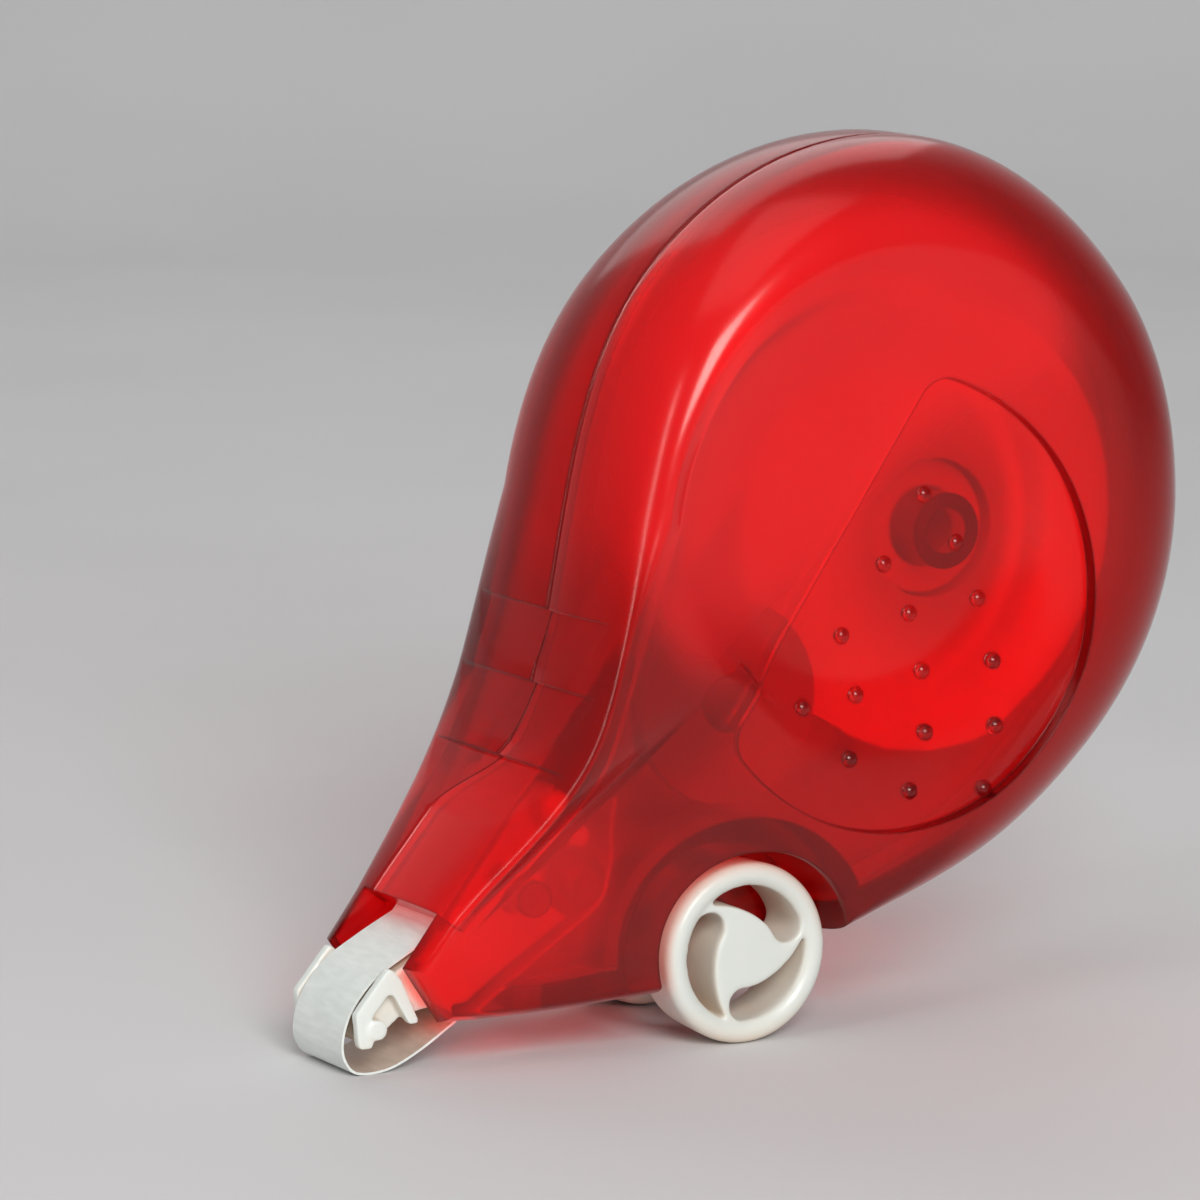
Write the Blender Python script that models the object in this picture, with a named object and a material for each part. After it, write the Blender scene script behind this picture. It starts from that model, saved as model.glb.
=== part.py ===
"""Correction tape dispenser that rolls on two wheels.

The drawing frame has x from the tip towards the head, y across the body with the near half
at negative y, and z up from the paper.  Sizes are in millimetres and become metres where a
mesh is made.
"""

import math

import bmesh
import bpy
from mathutils import Matrix, Vector
from mathutils.bvhtree import BVHTree

MM = 0.001

# Clearances
SEAT_GAP = 0.3
RUN_GAP = 0.15
SEAM_GAP = 0.3

# Tape
TAPE_WIDTH = 5.0
TAPE_THICKNESS = 0.12
SUPPLY_ROLL_RADIUS = 9.8
TAKE_UP_ROLL_RADIUS = 4.0

# Reels, gears and clutch
GEAR_MODULE = 0.5
GEAR_TEETH = 44
PINION_TEETH = 14
GEAR_FACE = 1.2
GEAR_WINDOWS = 5
GEAR_WINDOW_RADIUS = 1.7
BACKLASH = 0.12
PRESSURE_ANGLE = math.radians(20.0)
ADDENDUM = 0.9
DEDENDUM = 1.2
FLANGE = 0.7
FLANGE_MARGIN = 1.4
TAKE_UP_FLANGE_MARGIN = 1.0
CORE_WALL = 1.5
HUB_WALL = 1.3
CLUTCH_RING_WIDTH = 1.4
CLUTCH_RING_THICKNESS = 0.6
SUPPLY_POST_RADIUS = 1.9
TAKE_UP_POST_RADIUS = 1.3
GEAR_SIDE_GAP = 2.25
SUPPLY_AXIS_Z = 24.25
TAKE_UP_HEADING = math.radians(211.0)

# Shell
WALL = 1.2
HALF_DEPTH = 7.5
SEAM_Y = -0.9
SEAM_LIP = 0.12
NECK_STRAIGHT = 0.35
HEAD_STRAIGHT = 0.18
HEAD_SHOULDER = 5.4
NECK_SHOULDER = 0.9
RIDGE_SHARE = 0.65
NECK_LENGTH = 13.0
SHOULDER_START = 14.0
SHOULDER_LENGTH = 20.0
SEAM_JOG_START = 7.0
SEAM_JOG_LENGTH = 4.5
FLOOR_GAP = 0.5
DISH_CENTRE = (26.3, 25.0)
DISH_RADIUS = 11.0
DISH_LIP_DROP = 0.55
SCOOP_CENTRE = (27.7, 21.2)
SCOOP_RADIUS = 11.3
SCOOP_CORNER = 1.6
SCOOP_CHORD_OFFSET = 4.4
SCOOP_HEADING = math.radians(145.0)
SCOOP_DEPTH = 0.5
GRIP_STEP = 0.35
GRIP_RUN_OUT = 0.06
GRIP_PITCH = 3.5
GRIP_STEPS = 3
GRIP_TOP_Z = 21.5

# Grip pimples, in arcs round one centre: radius, first and last bearing, count
PIMPLE_RADIUS = 0.42
PIMPLE_RISE = 0.28
PIMPLE_CENTRE = (19.8, 16.6)
PIMPLE_ARCS = (
    (3.0, -6.0, -6.0, 1),
    (6.2, 29.0, -29.0, 3),
    (10.1, 39.0, -29.0, 5),
    (14.0, 43.5, -21.5, 6),
)

# Wheels
WHEEL_RADIUS = 4.5
WHEEL_WIDTH = 3.6
WHEEL_OUTER_Y = 6.3
WHEEL_X = 19.5
WHEEL_RIM = 0.95
WHEEL_EDGE = 0.55
WHEEL_FACE_SINK = 0.3
WHEEL_BACK_TAPER = 0.15
WHEEL_SPOKES = 3
WHEEL_HUB_RADIUS = 1.85
WHEEL_SWIRL = math.radians(104.0)
WHEEL_SWIRL_START = math.radians(128.0)
WHEEL_SWIRL_POWER = 0.8
WELL_GAP = 1.0
WELL_SIDE_GAP = 0.35
WELL_LIP = 0.7
AXLE_RADIUS = 0.9
AXLE_BEVEL = 0.2
AXLE_BOSS_RADIUS = 2.1
AXLE_END_COVER = 1.3

# Body outline: x, z and heading in degrees, anticlockwise seen from the near side
OUTLINE_KNOTS = (
    (3.5, 2.25, 356.0),
    (15.0, 2.75, 7.0),
    (27.75, 5.55, 13.0),
    (36.05, 8.4, 29.0),
    (42.85, 14.3, 53.0),
    (46.5, 24.9, 90.0),
    (42.85, 36.5, 128.0),
    (30.0, 43.65, 180.0),
    (16.6, 37.3, 230.0),
    (11.75, 24.0, 259.0),
    (9.5, 15.8, 244.0),
    (3.3, 7.6, 233.0),
)
NECK_KNOT = 9
HEAD_KNOT = 5
NOSE_POINT = (1.5, 5.3)
NOSE_ORIGIN = (3.0, 5.0)
BODY_AXIS = math.radians(37.7)

# Nose opening between the cheeks: roof of the lower slot and its front
MOUTH_ROOF = (5.6, 4.9)
MOUTH_BACK = (9.2, 4.4)
MOUTH_FRONT_X = -3.0

# Posts in the nose
BOSS_RADIUS = 1.5
BOSS_PIN_RADIUS = 0.8
BOSS_BEARING = math.radians(153.7)
TIP_PIN_RADIUS = 0.9
TIP_PIN = (8.3, 8.2)
SOCKET_WALL = 0.7
PIN_REACH = 1.0

# Tip: blade under the tape, cheeks beside it and the stem inside the nose
TIP_SIDE_GAP = 0.25
TIP_CHEEK = 0.55
TIP_CORNER = 0.3
BLADE_FRONT = ((0.5, 1.45), (-0.25, 1.75), (0.55, 3.75), (1.6, 4.7))
BLADE_BACK = (2.2, 2.75)
CHEEK_OUTLINE = (
    (1.25, 5.35),
    (-0.6, 3.2),
    (-0.45, 1.5),
    (0.35, 1.45),
    (0.3, 3.0),
    (1.3, 4.15),
    (2.3, 2.4),
    (2.85, 2.45),
    (1.85, 4.7),
)
CHEEK_KNOB = (0.55, 2.35)
CHEEK_KNOB_RADIUS = 0.5
CHEEK_KNOB_RISE = 0.12
CHEEK_ROOTS = ((0.85, 3.9), (2.35, 3.1))
CHEEK_ROOT_RADIUS = 0.4
STEM_BACK_REACH = 2.5
STEM_BACK_BEARING = math.radians(65.0)
HEAD_BAR_Z = 13.6
HEAD_BAR_RADIUS = 0.9
HEAD_BAR_BEVEL = 0.4
HEAD_BAR_OVERHANG = 1.0

# Tape loop in front of the nose, from the lip round the tip and back under it
LOOP_KNOTS = (
    (2.6, 5.7),
    (0.75, 4.6),
    (-0.5, 3.1),
    (-0.93, 1.5),
    (-0.55, 0.45),
    (0.25, 0.09),
    (1.7, 0.22),
    (3.3, 0.92),
    (5.0, 1.95),
)

# Facets
ROUND_STEPS = 28
SMALL_ROUND_STEPS = 16
EDGE_STEPS = 3
SPAN_STEPS = 4
OUTER_SHOULDER_STEPS = 4
INNER_SHOULDER_STEPS = 2

# Values that follow from the sizes above
HALF_TAPE = TAPE_WIDTH / 2
REEL_FACE = HALF_TAPE + SEAT_GAP
REEL_STACK = REEL_FACE + FLANGE
TAKE_UP_FACE = REEL_STACK + SEAT_GAP
STACK_HALF = max(TAKE_UP_FACE + FLANGE, REEL_FACE + GEAR_FACE)
INNER_FLOOR = STACK_HALF + FLOOR_GAP
DISH_FLOOR = INNER_FLOOR + WALL
OUTER_REACH = 2 * HALF_DEPTH
BLADE_HALF = HALF_TAPE + TIP_SIDE_GAP / 2
TIP_HALF = HALF_TAPE + TIP_SIDE_GAP + TIP_CHEEK
MOUTH_HALF = TIP_HALF + SEAT_GAP
NOSE_HALF_DEPTH = MOUTH_HALF + WALL
GEAR_PITCH_RADIUS = GEAR_MODULE * GEAR_TEETH / 2
PINION_PITCH_RADIUS = GEAR_MODULE * PINION_TEETH / 2
GEAR_TIP_RADIUS = GEAR_PITCH_RADIUS + ADDENDUM * GEAR_MODULE
AXIS_DISTANCE = GEAR_PITCH_RADIUS + PINION_PITCH_RADIUS
HUB_RADIUS = SUPPLY_POST_RADIUS + RUN_GAP + HUB_WALL
CORE_BORE = HUB_RADIUS + RUN_GAP
CORE_RADIUS = CORE_BORE + CORE_WALL
TAKE_UP_BORE = TAKE_UP_POST_RADIUS + RUN_GAP
TAKE_UP_CORE_RADIUS = TAKE_UP_BORE + CORE_WALL
SUPPLY_AXIS = (
    OUTLINE_KNOTS[HEAD_KNOT][0] - WALL - GEAR_SIDE_GAP - GEAR_TIP_RADIUS,
    SUPPLY_AXIS_Z,
)
TAKE_UP_AXIS = (
    SUPPLY_AXIS[0] + AXIS_DISTANCE * math.cos(TAKE_UP_HEADING),
    SUPPLY_AXIS[1] + AXIS_DISTANCE * math.sin(TAKE_UP_HEADING),
)
WHEEL_AXIS = (WHEEL_X, WHEEL_RADIUS)
WHEEL_INNER_Y = WHEEL_OUTER_Y - WHEEL_WIDTH
WELL_RADIUS = WHEEL_RADIUS + WELL_GAP
WELL_FLOOR = WHEEL_INNER_Y - WELL_SIDE_GAP
TAPE_PATH_GAP = SEAT_GAP + TAPE_THICKNESS / 2
BOSS_DISTANCE = WELL_RADIUS + WALL + 2 * TAPE_PATH_GAP + BOSS_RADIUS
BOSS = (
    WHEEL_AXIS[0] + BOSS_DISTANCE * math.cos(BOSS_BEARING),
    WHEEL_AXIS[1] + BOSS_DISTANCE * math.sin(BOSS_BEARING),
)

# Pins of the far half and their sockets in the near one: place, radius, socket end
SOCKETS = (
    (SUPPLY_AXIS, SUPPLY_POST_RADIUS, -REEL_STACK - SEAT_GAP),
    (BOSS, BOSS_PIN_RADIUS, -REEL_FACE - SEAT_GAP),
    (TIP_PIN, TIP_PIN_RADIUS, -TIP_HALF - SEAT_GAP),
)


# Mesh building

def clear_scene():
    for item in list(bpy.data.objects):
        bpy.data.objects.remove(item, do_unlink=True)


def make_material(name, colour, roughness, alpha=1.0, metallic=0.0):
    material = bpy.data.materials.new(name)
    material.use_nodes = True
    shader = material.node_tree.nodes["Principled BSDF"]
    shader.inputs["Base Color"].default_value = (*colour, 1.0)
    shader.inputs["Roughness"].default_value = roughness
    shader.inputs["Metallic"].default_value = metallic
    shader.inputs["Alpha"].default_value = alpha
    return material


def make_object(name, points, faces):
    """Object from millimetre points (x, y, z) and faces, with its normals turned out."""
    mesh = bpy.data.meshes.new(name)
    mesh.from_pydata([Vector(p) * MM for p in points], [], faces)
    work = bmesh.new()
    work.from_mesh(mesh)
    bmesh.ops.recalc_face_normals(work, faces=work.faces)
    work.to_mesh(mesh)
    work.free()
    item = bpy.data.objects.new(name, mesh)
    bpy.context.scene.collection.objects.link(item)
    return item


def loft(name, rings, closed=False):
    """Skin through rings of equal length; the ends are capped unless the rings close."""
    count = len(rings[0])
    points = [p for ring in rings for p in ring]
    faces = []
    last = len(rings) if closed else len(rings) - 1
    for row in range(last):
        lower = row * count
        upper = (row + 1) % len(rings) * count
        for k in range(count):
            after = (k + 1) % count
            faces.append((lower + k, lower + after, upper + after, upper + k))
    if not closed:
        faces.append(tuple(range(count)))
        faces.append(tuple(range((len(rings) - 1) * count, len(rings) * count)))
    return make_object(name, points, faces)


def prism(name, outline, low, high):
    """Outline in x and z, extruded along y."""
    rings = [[(p[0], y, p[1]) for p in outline] for y in (low, high)]
    return loft(name, rings)


def circle(centre, radius, steps):
    angles = [2 * math.pi * k / steps for k in range(steps)]
    return [(centre[0] + radius * math.cos(a), centre[1] + radius * math.sin(a)) for a in angles]


def rod(name, centre, radius, low, high, steps=SMALL_ROUND_STEPS):
    return prism(name, circle(centre, radius, steps), low, high)


def turned(name, profile, steps=ROUND_STEPS, closed=True):
    """Profile of (radius, y) turned round the y axis; an open one starts and ends flat."""
    rings = [[(x, y, z) for x, z in circle((0, 0), r, steps)] for r, y in profile]
    return loft(name, rings, closed)


def bevelled_rod(name, radius, half_length, bevel):
    """Rod round the y axis with eased ends."""
    return turned(name, [
        (radius - bevel, half_length),
        (radius, half_length - bevel),
        (radius, bevel - half_length),
        (radius - bevel, -half_length),
    ], SMALL_ROUND_STEPS, closed=False)


def move_to(item, place):
    """Carries a mesh from the y axis to a place in x and z."""
    item.data.transform(Matrix.Translation(Vector((place[0], 0, place[1])) * MM))
    return item


def combine(target, tool, operation):
    """Boolean of two objects; the tool is used up."""
    modifier = target.modifiers.new("combine", 'BOOLEAN')
    modifier.operation = operation
    modifier.solver = 'EXACT'
    modifier.object = tool
    bpy.context.view_layer.update()
    graph = bpy.context.evaluated_depsgraph_get()
    result = bpy.data.meshes.new_from_object(target.evaluated_get(graph))
    target.modifiers.clear()
    target.data = result
    bpy.data.objects.remove(tool, do_unlink=True)


def cut(target, tool):
    combine(target, tool, 'DIFFERENCE')


def join(target, tool):
    combine(target, tool, 'UNION')


def keep(target, tool):
    combine(target, tool, 'INTERSECT')


def duplicate(item):
    copy = item.copy()
    copy.data = item.data.copy()
    bpy.context.scene.collection.objects.link(copy)
    return copy


def finish(item, name, material, parent, at=(0, 0), smooth_angle=32.0):
    """Name, material, shading and place of a finished piece; at is (x, z) of its own axis."""
    item.name = name
    item.data.name = name
    item.data.materials.clear()
    item.data.materials.append(material)
    item.data.shade_smooth()
    item.data.set_sharp_from_angle(angle=math.radians(smooth_angle))
    item.location = Vector((at[0], 0, at[1])) * MM
    item.parent = parent
    return item


# Plane geometry

def mix(a, b, t):
    return a + (b - a) * t


def ease(t):
    t = min(1.0, max(0.0, t))
    return t * t * (3 - 2 * t)


def heading_vector(heading):
    return Vector((math.cos(heading), math.sin(heading)))


def left_of(direction):
    return Vector((-direction.y, direction.x))


def arc(centre, radius, start, end, steps):
    """Points of an arc between two bearings, with both ends."""
    bearings = [mix(start, end, k / steps) for k in range(steps + 1)]
    return [centre + heading_vector(b) * radius for b in bearings]


def curve_between(start, end, steps):
    """Points of a cubic from one knot (x, z, heading) towards the next, without the last."""
    p0 = Vector(start[:2])
    p3 = Vector(end[:2])
    turn = math.radians((end[2] - start[2] + 180) % 360 - 180)
    chord = (p3 - p0).length
    handle = chord / 3
    if abs(turn) > 0.01:
        handle = chord * 2 / 3 * math.tan(turn / 4) / math.sin(turn / 2)
    p1 = p0 + heading_vector(math.radians(start[2])) * handle
    p2 = p3 - heading_vector(math.radians(end[2])) * handle
    points = []
    for k in range(steps):
        t = k / steps
        s = 1 - t
        points.append(p0 * s ** 3 + p1 * 3 * s * s * t + p2 * 3 * s * t * t + p3 * t ** 3)
    return points


def body_outline():
    points = []
    for start, end in zip(OUTLINE_KNOTS, OUTLINE_KNOTS[1:]):
        points += curve_between(start, end, SPAN_STEPS)
    points.append(Vector(OUTLINE_KNOTS[-1][:2]))
    points.append(Vector(NOSE_POINT))
    return points


def front_wall(height):
    """Point of the front of the neck or nose at a height, with the direction into the body."""
    points = []
    knots = OUTLINE_KNOTS[NECK_KNOT:]
    for start, end in zip(knots, knots[1:]):
        points += curve_between(start, end, ROUND_STEPS)
    below = next(k for k, p in enumerate(points) if p.y < height)
    upper = points[below - 1]
    lower = points[below]
    share = (upper.y - height) / (upper.y - lower.y)
    return upper.lerp(lower, share), left_of((lower - upper).normalized())


def inward_normals(points):
    """Inward mitre vectors of an anticlockwise outline: one unit of inset each."""
    sharpest = 0.6
    normals = []
    for k, point in enumerate(points):
        before = left_of((point - points[k - 1]).normalized())
        after = left_of((points[(k + 1) % len(points)] - point).normalized())
        bisector = (before + after).normalized()
        normals.append(bisector / max(sharpest, bisector.dot(after)))
    return normals


def rounded(corners, radius, steps=2):
    """Polygon with its corners rounded by arcs of about the given radius."""
    longest_share = 0.45
    points = []
    for k, corner in enumerate(corners):
        here = Vector(corner)
        to_before = Vector(corners[k - 1]) - here
        to_after = Vector(corners[(k + 1) % len(corners)]) - here
        half = to_before.angle(to_after) / 2
        longest = longest_share * min(to_before.length, to_after.length)
        reach = min(radius / math.tan(half), longest)
        first = here + to_before.normalized() * reach
        last = here + to_after.normalized() * reach
        for step in range(steps + 1):
            t = step / steps
            points.append(first * (1 - t) ** 2 + here * 2 * t * (1 - t) + last * t * t)
    return points


# Shells

class BodyForm:
    """Outline of the body with its depth, shoulder width and seam place at each point."""

    def __init__(self):
        self.points = body_outline()
        self.normals = inward_normals(self.points)
        axis = heading_vector(BODY_AXIS)
        origin = Vector(NOSE_ORIGIN)
        self.depth = []
        self.straight = []
        self.shoulder = []
        self.seam = []
        for p in self.points:
            along = (p - origin).dot(axis)
            in_front = (p - origin).dot(left_of(axis)) > 0
            jog_start = SEAM_JOG_START if in_front else -SEAM_JOG_LENGTH / 2
            rise = ease((along - SHOULDER_START) / SHOULDER_LENGTH)
            self.depth.append(mix(NOSE_HALF_DEPTH, HALF_DEPTH, ease(along / NECK_LENGTH)))
            self.straight.append(mix(NECK_STRAIGHT, HEAD_STRAIGHT, rise))
            room = (p - Vector(DISH_CENTRE)).length - DISH_RADIUS
            shoulder = mix(NECK_SHOULDER, HEAD_SHOULDER, rise)
            self.shoulder.append(min(shoulder, RIDGE_SHARE * room))
            self.seam.append(mix(HALF_TAPE, SEAM_Y, ease((along - jog_start) / SEAM_JOG_LENGTH)))

    def ring(self, insets, depths, side):
        return [
            (p.x + n.x * d, side * y, p.y + n.y * d)
            for p, n, d, y in zip(self.points, self.normals, insets, depths)
        ]

    def rings(self, side, rims, wall, shoulder_steps):
        """Rings from the rim at the seam to the middle of the dish, inset by a wall."""
        count = len(rims)
        straight = [
            max(share * depth, rim + SEAT_GAP)
            for share, depth, rim in zip(self.straight, self.depth, rims)
        ]
        if wall:
            rings = [self.ring([wall] * count, rims, side)]
        else:
            rings = [
                self.ring([SEAM_LIP] * count, rims, side),
                self.ring([0.0] * count, [rim + 2 * SEAM_LIP for rim in rims], side),
            ]
        for step in range(shoulder_steps + 1):
            angle = math.pi / 2 * step / shoulder_steps
            insets = [wall + s * (1 - math.cos(angle)) for s in self.shoulder]
            depths = [
                mix(low, high - wall, math.sin(angle)) for low, high in zip(straight, self.depth)
            ]
            rings.append(self.ring(insets, depths, side))
        return rings + self.dish_rings(rings[-1], side, wall)

    def dish_rings(self, ridge, side, wall):
        """Rings from the ridge down over the lip of the dish to its floor."""
        lip = HALF_DEPTH - DISH_LIP_DROP - wall
        floor = DISH_FLOOR - wall
        centre = Vector(DISH_CENTRE)
        halfway = []
        edges = []
        for x, y, z in ridge:
            spoke = (Vector((x, z)) - centre).normalized() * DISH_RADIUS
            edges.append(spoke)
            middle = (Vector((x, z)) + centre + spoke) / 2
            halfway.append((middle.x, side * (abs(y) + lip) / 2, middle.y))
        rings = [halfway]
        for share, sink in ((1.0, 0.0), (0.9, 0.7), (0.78, 1.0)):
            depth = side * mix(lip, floor, sink)
            rings.append([(centre.x + e.x * share, depth, centre.y + e.y * share) for e in edges])
        return rings

    def half_shell(self, side):
        """One hollow half, open at the seam."""
        gap = SEAM_GAP if side > 0 else 0.0
        rims = [side * s + gap for s in self.seam]
        outer = self.rings(side, rims, 0.0, OUTER_SHOULDER_STEPS)
        inner = self.rings(side, rims, WALL, INNER_SHOULDER_STEPS)
        return loft("shell", list(reversed(outer)) + inner)

    def solid_half(self, side, inset):
        """The same half filled, inset all round and reaching well past the seam."""
        rims = [-HALF_DEPTH] * len(self.points)
        return loft("solid", self.rings(side, rims, inset, OUTER_SHOULDER_STEPS))


def scoop_outline():
    """Round thumb rest cut off by a straight edge towards the front, with rounded corners."""
    reach = SCOOP_RADIUS - SCOOP_CORNER
    spread = math.acos((SCOOP_CHORD_OFFSET - SCOOP_CORNER) / reach)
    first = SCOOP_HEADING - spread
    last = SCOOP_HEADING + spread
    middle = Vector(SCOOP_CENTRE)
    upper = middle + heading_vector(first) * reach
    lower = middle + heading_vector(last) * reach
    points = arc(upper, SCOOP_CORNER, first, SCOOP_HEADING, EDGE_STEPS)
    points += arc(lower, SCOOP_CORNER, SCOOP_HEADING, last, EDGE_STEPS)
    points += arc(middle, SCOOP_RADIUS, last, first + 2 * math.pi, ROUND_STEPS)[1:-1]
    return points


def cut_scoop(shell, form, side):
    """Sinks the thumb rest by one depth, following the face."""
    solid = form.solid_half(side, 0.0)
    solid.data.transform(Matrix.Translation((0, -side * SCOOP_DEPTH * MM, 0)))
    tool = prism("scoop", scoop_outline(), side * INNER_FLOOR, side * OUTER_REACH)
    cut(tool, solid)
    cut(shell, tool)


def pimple_places():
    places = []
    for radius, first, last, count in PIMPLE_ARCS:
        for k in range(count):
            bearing = mix(first, last, k / max(1, count - 1))
            places.append(Vector(PIMPLE_CENTRE) + heading_vector(math.radians(bearing)) * radius)
    return places


def add_pimples(shell, side):
    """Round grip pimples on the thumb rest, each set on the face below it."""
    tree = BVHTree.FromPolygons(
        [v.co.copy() for v in shell.data.vertices],
        [tuple(p.vertices) for p in shell.data.polygons],
    )
    ball = (PIMPLE_RADIUS ** 2 + PIMPLE_RISE ** 2) / (2 * PIMPLE_RISE)
    work = bmesh.new()
    for place in pimple_places():
        start = Vector((place.x, side * OUTER_REACH, place.y)) * MM
        hit = tree.ray_cast(start, Vector((0, -side, 0)))[0]
        made = bmesh.ops.create_icosphere(work, subdivisions=1, radius=ball * MM)
        centre = hit - Vector((0, side * (ball - PIMPLE_RISE) * MM, 0))
        bmesh.ops.translate(work, verts=made["verts"], vec=centre)
    mesh = bpy.data.meshes.new("pimples")
    work.to_mesh(mesh)
    work.free()
    pimples = bpy.data.objects.new("pimples", mesh)
    bpy.context.scene.collection.objects.link(pimples)
    join(shell, pimples)


def add_wheel_well(shell, core, side):
    """Cup for the wheel, with a rounded lip, and the boss that carries the axle."""
    inner = side * (WELL_FLOOR - WALL)
    cup = rod("cup", WHEEL_AXIS, WELL_RADIUS + WALL, inner, side * OUTER_REACH, ROUND_STEPS)
    keep(cup, duplicate(core))
    join(shell, cup)
    seam = SEAM_Y + SEAM_GAP if side > 0 else SEAM_Y
    join(shell, rod("boss", WHEEL_AXIS, AXLE_BOSS_RADIUS, seam, side * WELL_FLOOR))
    profile = [(WELL_RADIUS, side * WELL_FLOOR)]
    for k in range(EDGE_STEPS + 1):
        angle = math.pi / 2 * k / EDGE_STEPS
        spread = WELL_LIP * (1 - math.cos(angle))
        drop = WELL_LIP * (1 - math.sin(angle))
        profile.append((WELL_RADIUS + spread, side * (HALF_DEPTH - drop)))
    profile.append((WELL_RADIUS + WELL_LIP, side * OUTER_REACH))
    cut(shell, move_to(turned("well", profile, closed=False), WHEEL_AXIS))
    cut(shell, rod("bore", WHEEL_AXIS, AXLE_RADIUS + RUN_GAP, -OUTER_REACH, OUTER_REACH))


def cut_mouth(shell):
    """Opens the nose between its cheeks, above for the fresh tape and below for the spent one."""
    x, z, heading = OUTLINE_KNOTS[-1]
    slant = heading_vector(math.radians(heading))
    edge = Vector((x, z)) - slant * SEAT_GAP
    corners = [
        edge - left_of(slant) * WALL,
        edge + left_of(slant) * 2 * WALL,
        MOUTH_ROOF,
        MOUTH_BACK,
        (MOUTH_BACK[0], 0.0),
        (MOUTH_FRONT_X, 0.0),
        (MOUTH_FRONT_X, edge.y),
    ]
    cut(shell, prism("mouth", corners, -MOUTH_HALF, MOUTH_HALF))


def cut_grip(shell):
    """Saw-tooth finger steps down the front: each is sunk at its top and runs out below."""
    for step in range(GRIP_STEPS):
        top = GRIP_TOP_Z - GRIP_PITCH * step
        corners = []
        for k in range(EDGE_STEPS + 1):
            share = k / EDGE_STEPS
            place, inward = front_wall(top - GRIP_PITCH * share)
            corners.append(place + inward * mix(GRIP_STEP, -GRIP_RUN_OUT, share))
        corners.append((corners[-1].x - WALL, corners[-1].y))
        corners.append((corners[0].x - 2 * WALL, corners[0].y))
        cut(shell, prism("grip", corners, -OUTER_REACH, OUTER_REACH))


def add_posts(shell, core):
    """Posts for the reels and pins for the tip; buried ends stop inside the wall."""
    ends = {place: socket - PIN_REACH for place, radius, socket in SOCKETS}
    posts = (
        (SUPPLY_AXIS, SUPPLY_POST_RADIUS, ends[SUPPLY_AXIS]),
        (TAKE_UP_AXIS, TAKE_UP_POST_RADIUS, -STACK_HALF),
        (BOSS, BOSS_RADIUS, -REEL_FACE),
        (TIP_PIN, TIP_PIN_RADIUS, ends[TIP_PIN]),
    )
    for place, radius, end in posts:
        post = rod("post", place, radius, end, OUTER_REACH)
        keep(post, duplicate(core))
        join(shell, post)
    join(shell, rod("pin", BOSS, BOSS_PIN_RADIUS, ends[BOSS], 0))


def add_sockets(shell, core):
    """Short tubes on the near half that take the ends of the pins."""
    for place, radius, end in SOCKETS:
        tube = rod("socket", place, radius + RUN_GAP + SOCKET_WALL, end, -OUTER_REACH)
        keep(tube, duplicate(core))
        join(shell, tube)
        cut(shell, rod("bore", place, radius + RUN_GAP, 0, end - PIN_REACH - SEAT_GAP))


def make_shell(form, side, name, material, parent):
    shell = form.half_shell(side)
    core = form.solid_half(side, WALL / 2)
    add_wheel_well(shell, core, side)
    cut_scoop(shell, form, side)
    cut_grip(shell)
    cut_mouth(shell)
    if side > 0:
        add_posts(shell, core)
    else:
        add_sockets(shell, core)
    add_pimples(shell, side)
    bpy.data.objects.remove(core, do_unlink=True)
    return finish(shell, name, material, parent)


# Reels and gears

def involute_turn(base, radius):
    """Polar angle by which an involute has turned when it reaches a radius."""
    if radius <= base:
        return 0.0
    roll = math.sqrt((radius / base) ** 2 - 1)
    return roll - math.atan(roll)


def gear_outline(teeth, phase):
    """Spur gear with involute flanks, thinned for backlash; phase turns a tooth to a bearing."""
    pitch = GEAR_MODULE * teeth / 2
    base = pitch * math.cos(PRESSURE_ANGLE)
    root = pitch - DEDENDUM * GEAR_MODULE
    tip = pitch + ADDENDUM * GEAR_MODULE
    half = math.pi / (2 * teeth) - BACKLASH / (2 * pitch)
    half_at_base = half + involute_turn(base, pitch)
    start = max(root, base)
    flank = [(root, half_at_base)] if root < base else []
    for share in (0.0, 0.5, 1.0):
        radius = mix(start, tip, share)
        flank.append((radius, half_at_base - involute_turn(base, radius)))
    points = []
    for tooth in range(teeth):
        middle = phase + 2 * math.pi * tooth / teeth
        for radius, angle in flank:
            points.append(heading_vector(middle - angle) * radius)
        for radius, angle in reversed(flank):
            points.append(heading_vector(middle + angle) * radius)
    return points


def make_drive_gear(material, parent):
    """Gear with lightening windows and a hub, grooved for the clutch ring."""
    gear = prism("gear", gear_outline(GEAR_TEETH, TAKE_UP_HEADING), REEL_FACE, REEL_FACE + GEAR_FACE)
    bore = SUPPLY_POST_RADIUS + RUN_GAP
    cut(gear, rod("bore", (0, 0), bore, -OUTER_REACH, OUTER_REACH, ROUND_STEPS))
    for centre in circle((0, 0), (CORE_RADIUS + GEAR_PITCH_RADIUS) / 2, GEAR_WINDOWS):
        cut(gear, rod("window", centre, GEAR_WINDOW_RADIUS, -OUTER_REACH, OUTER_REACH))
    groove = HUB_RADIUS - CLUTCH_RING_THICKNESS
    half = CLUTCH_RING_WIDTH / 2 + RUN_GAP
    top = REEL_FACE + GEAR_FACE / 2
    hub = turned("hub", [
        (bore, top),
        (HUB_RADIUS, top),
        (HUB_RADIUS, half),
        (groove, half),
        (groove, -half),
        (HUB_RADIUS, -half),
        (HUB_RADIUS, -REEL_FACE),
        (bore, -REEL_FACE),
    ])
    join(gear, hub)
    return finish(gear, "drive_gear", material, parent, SUPPLY_AXIS)


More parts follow.
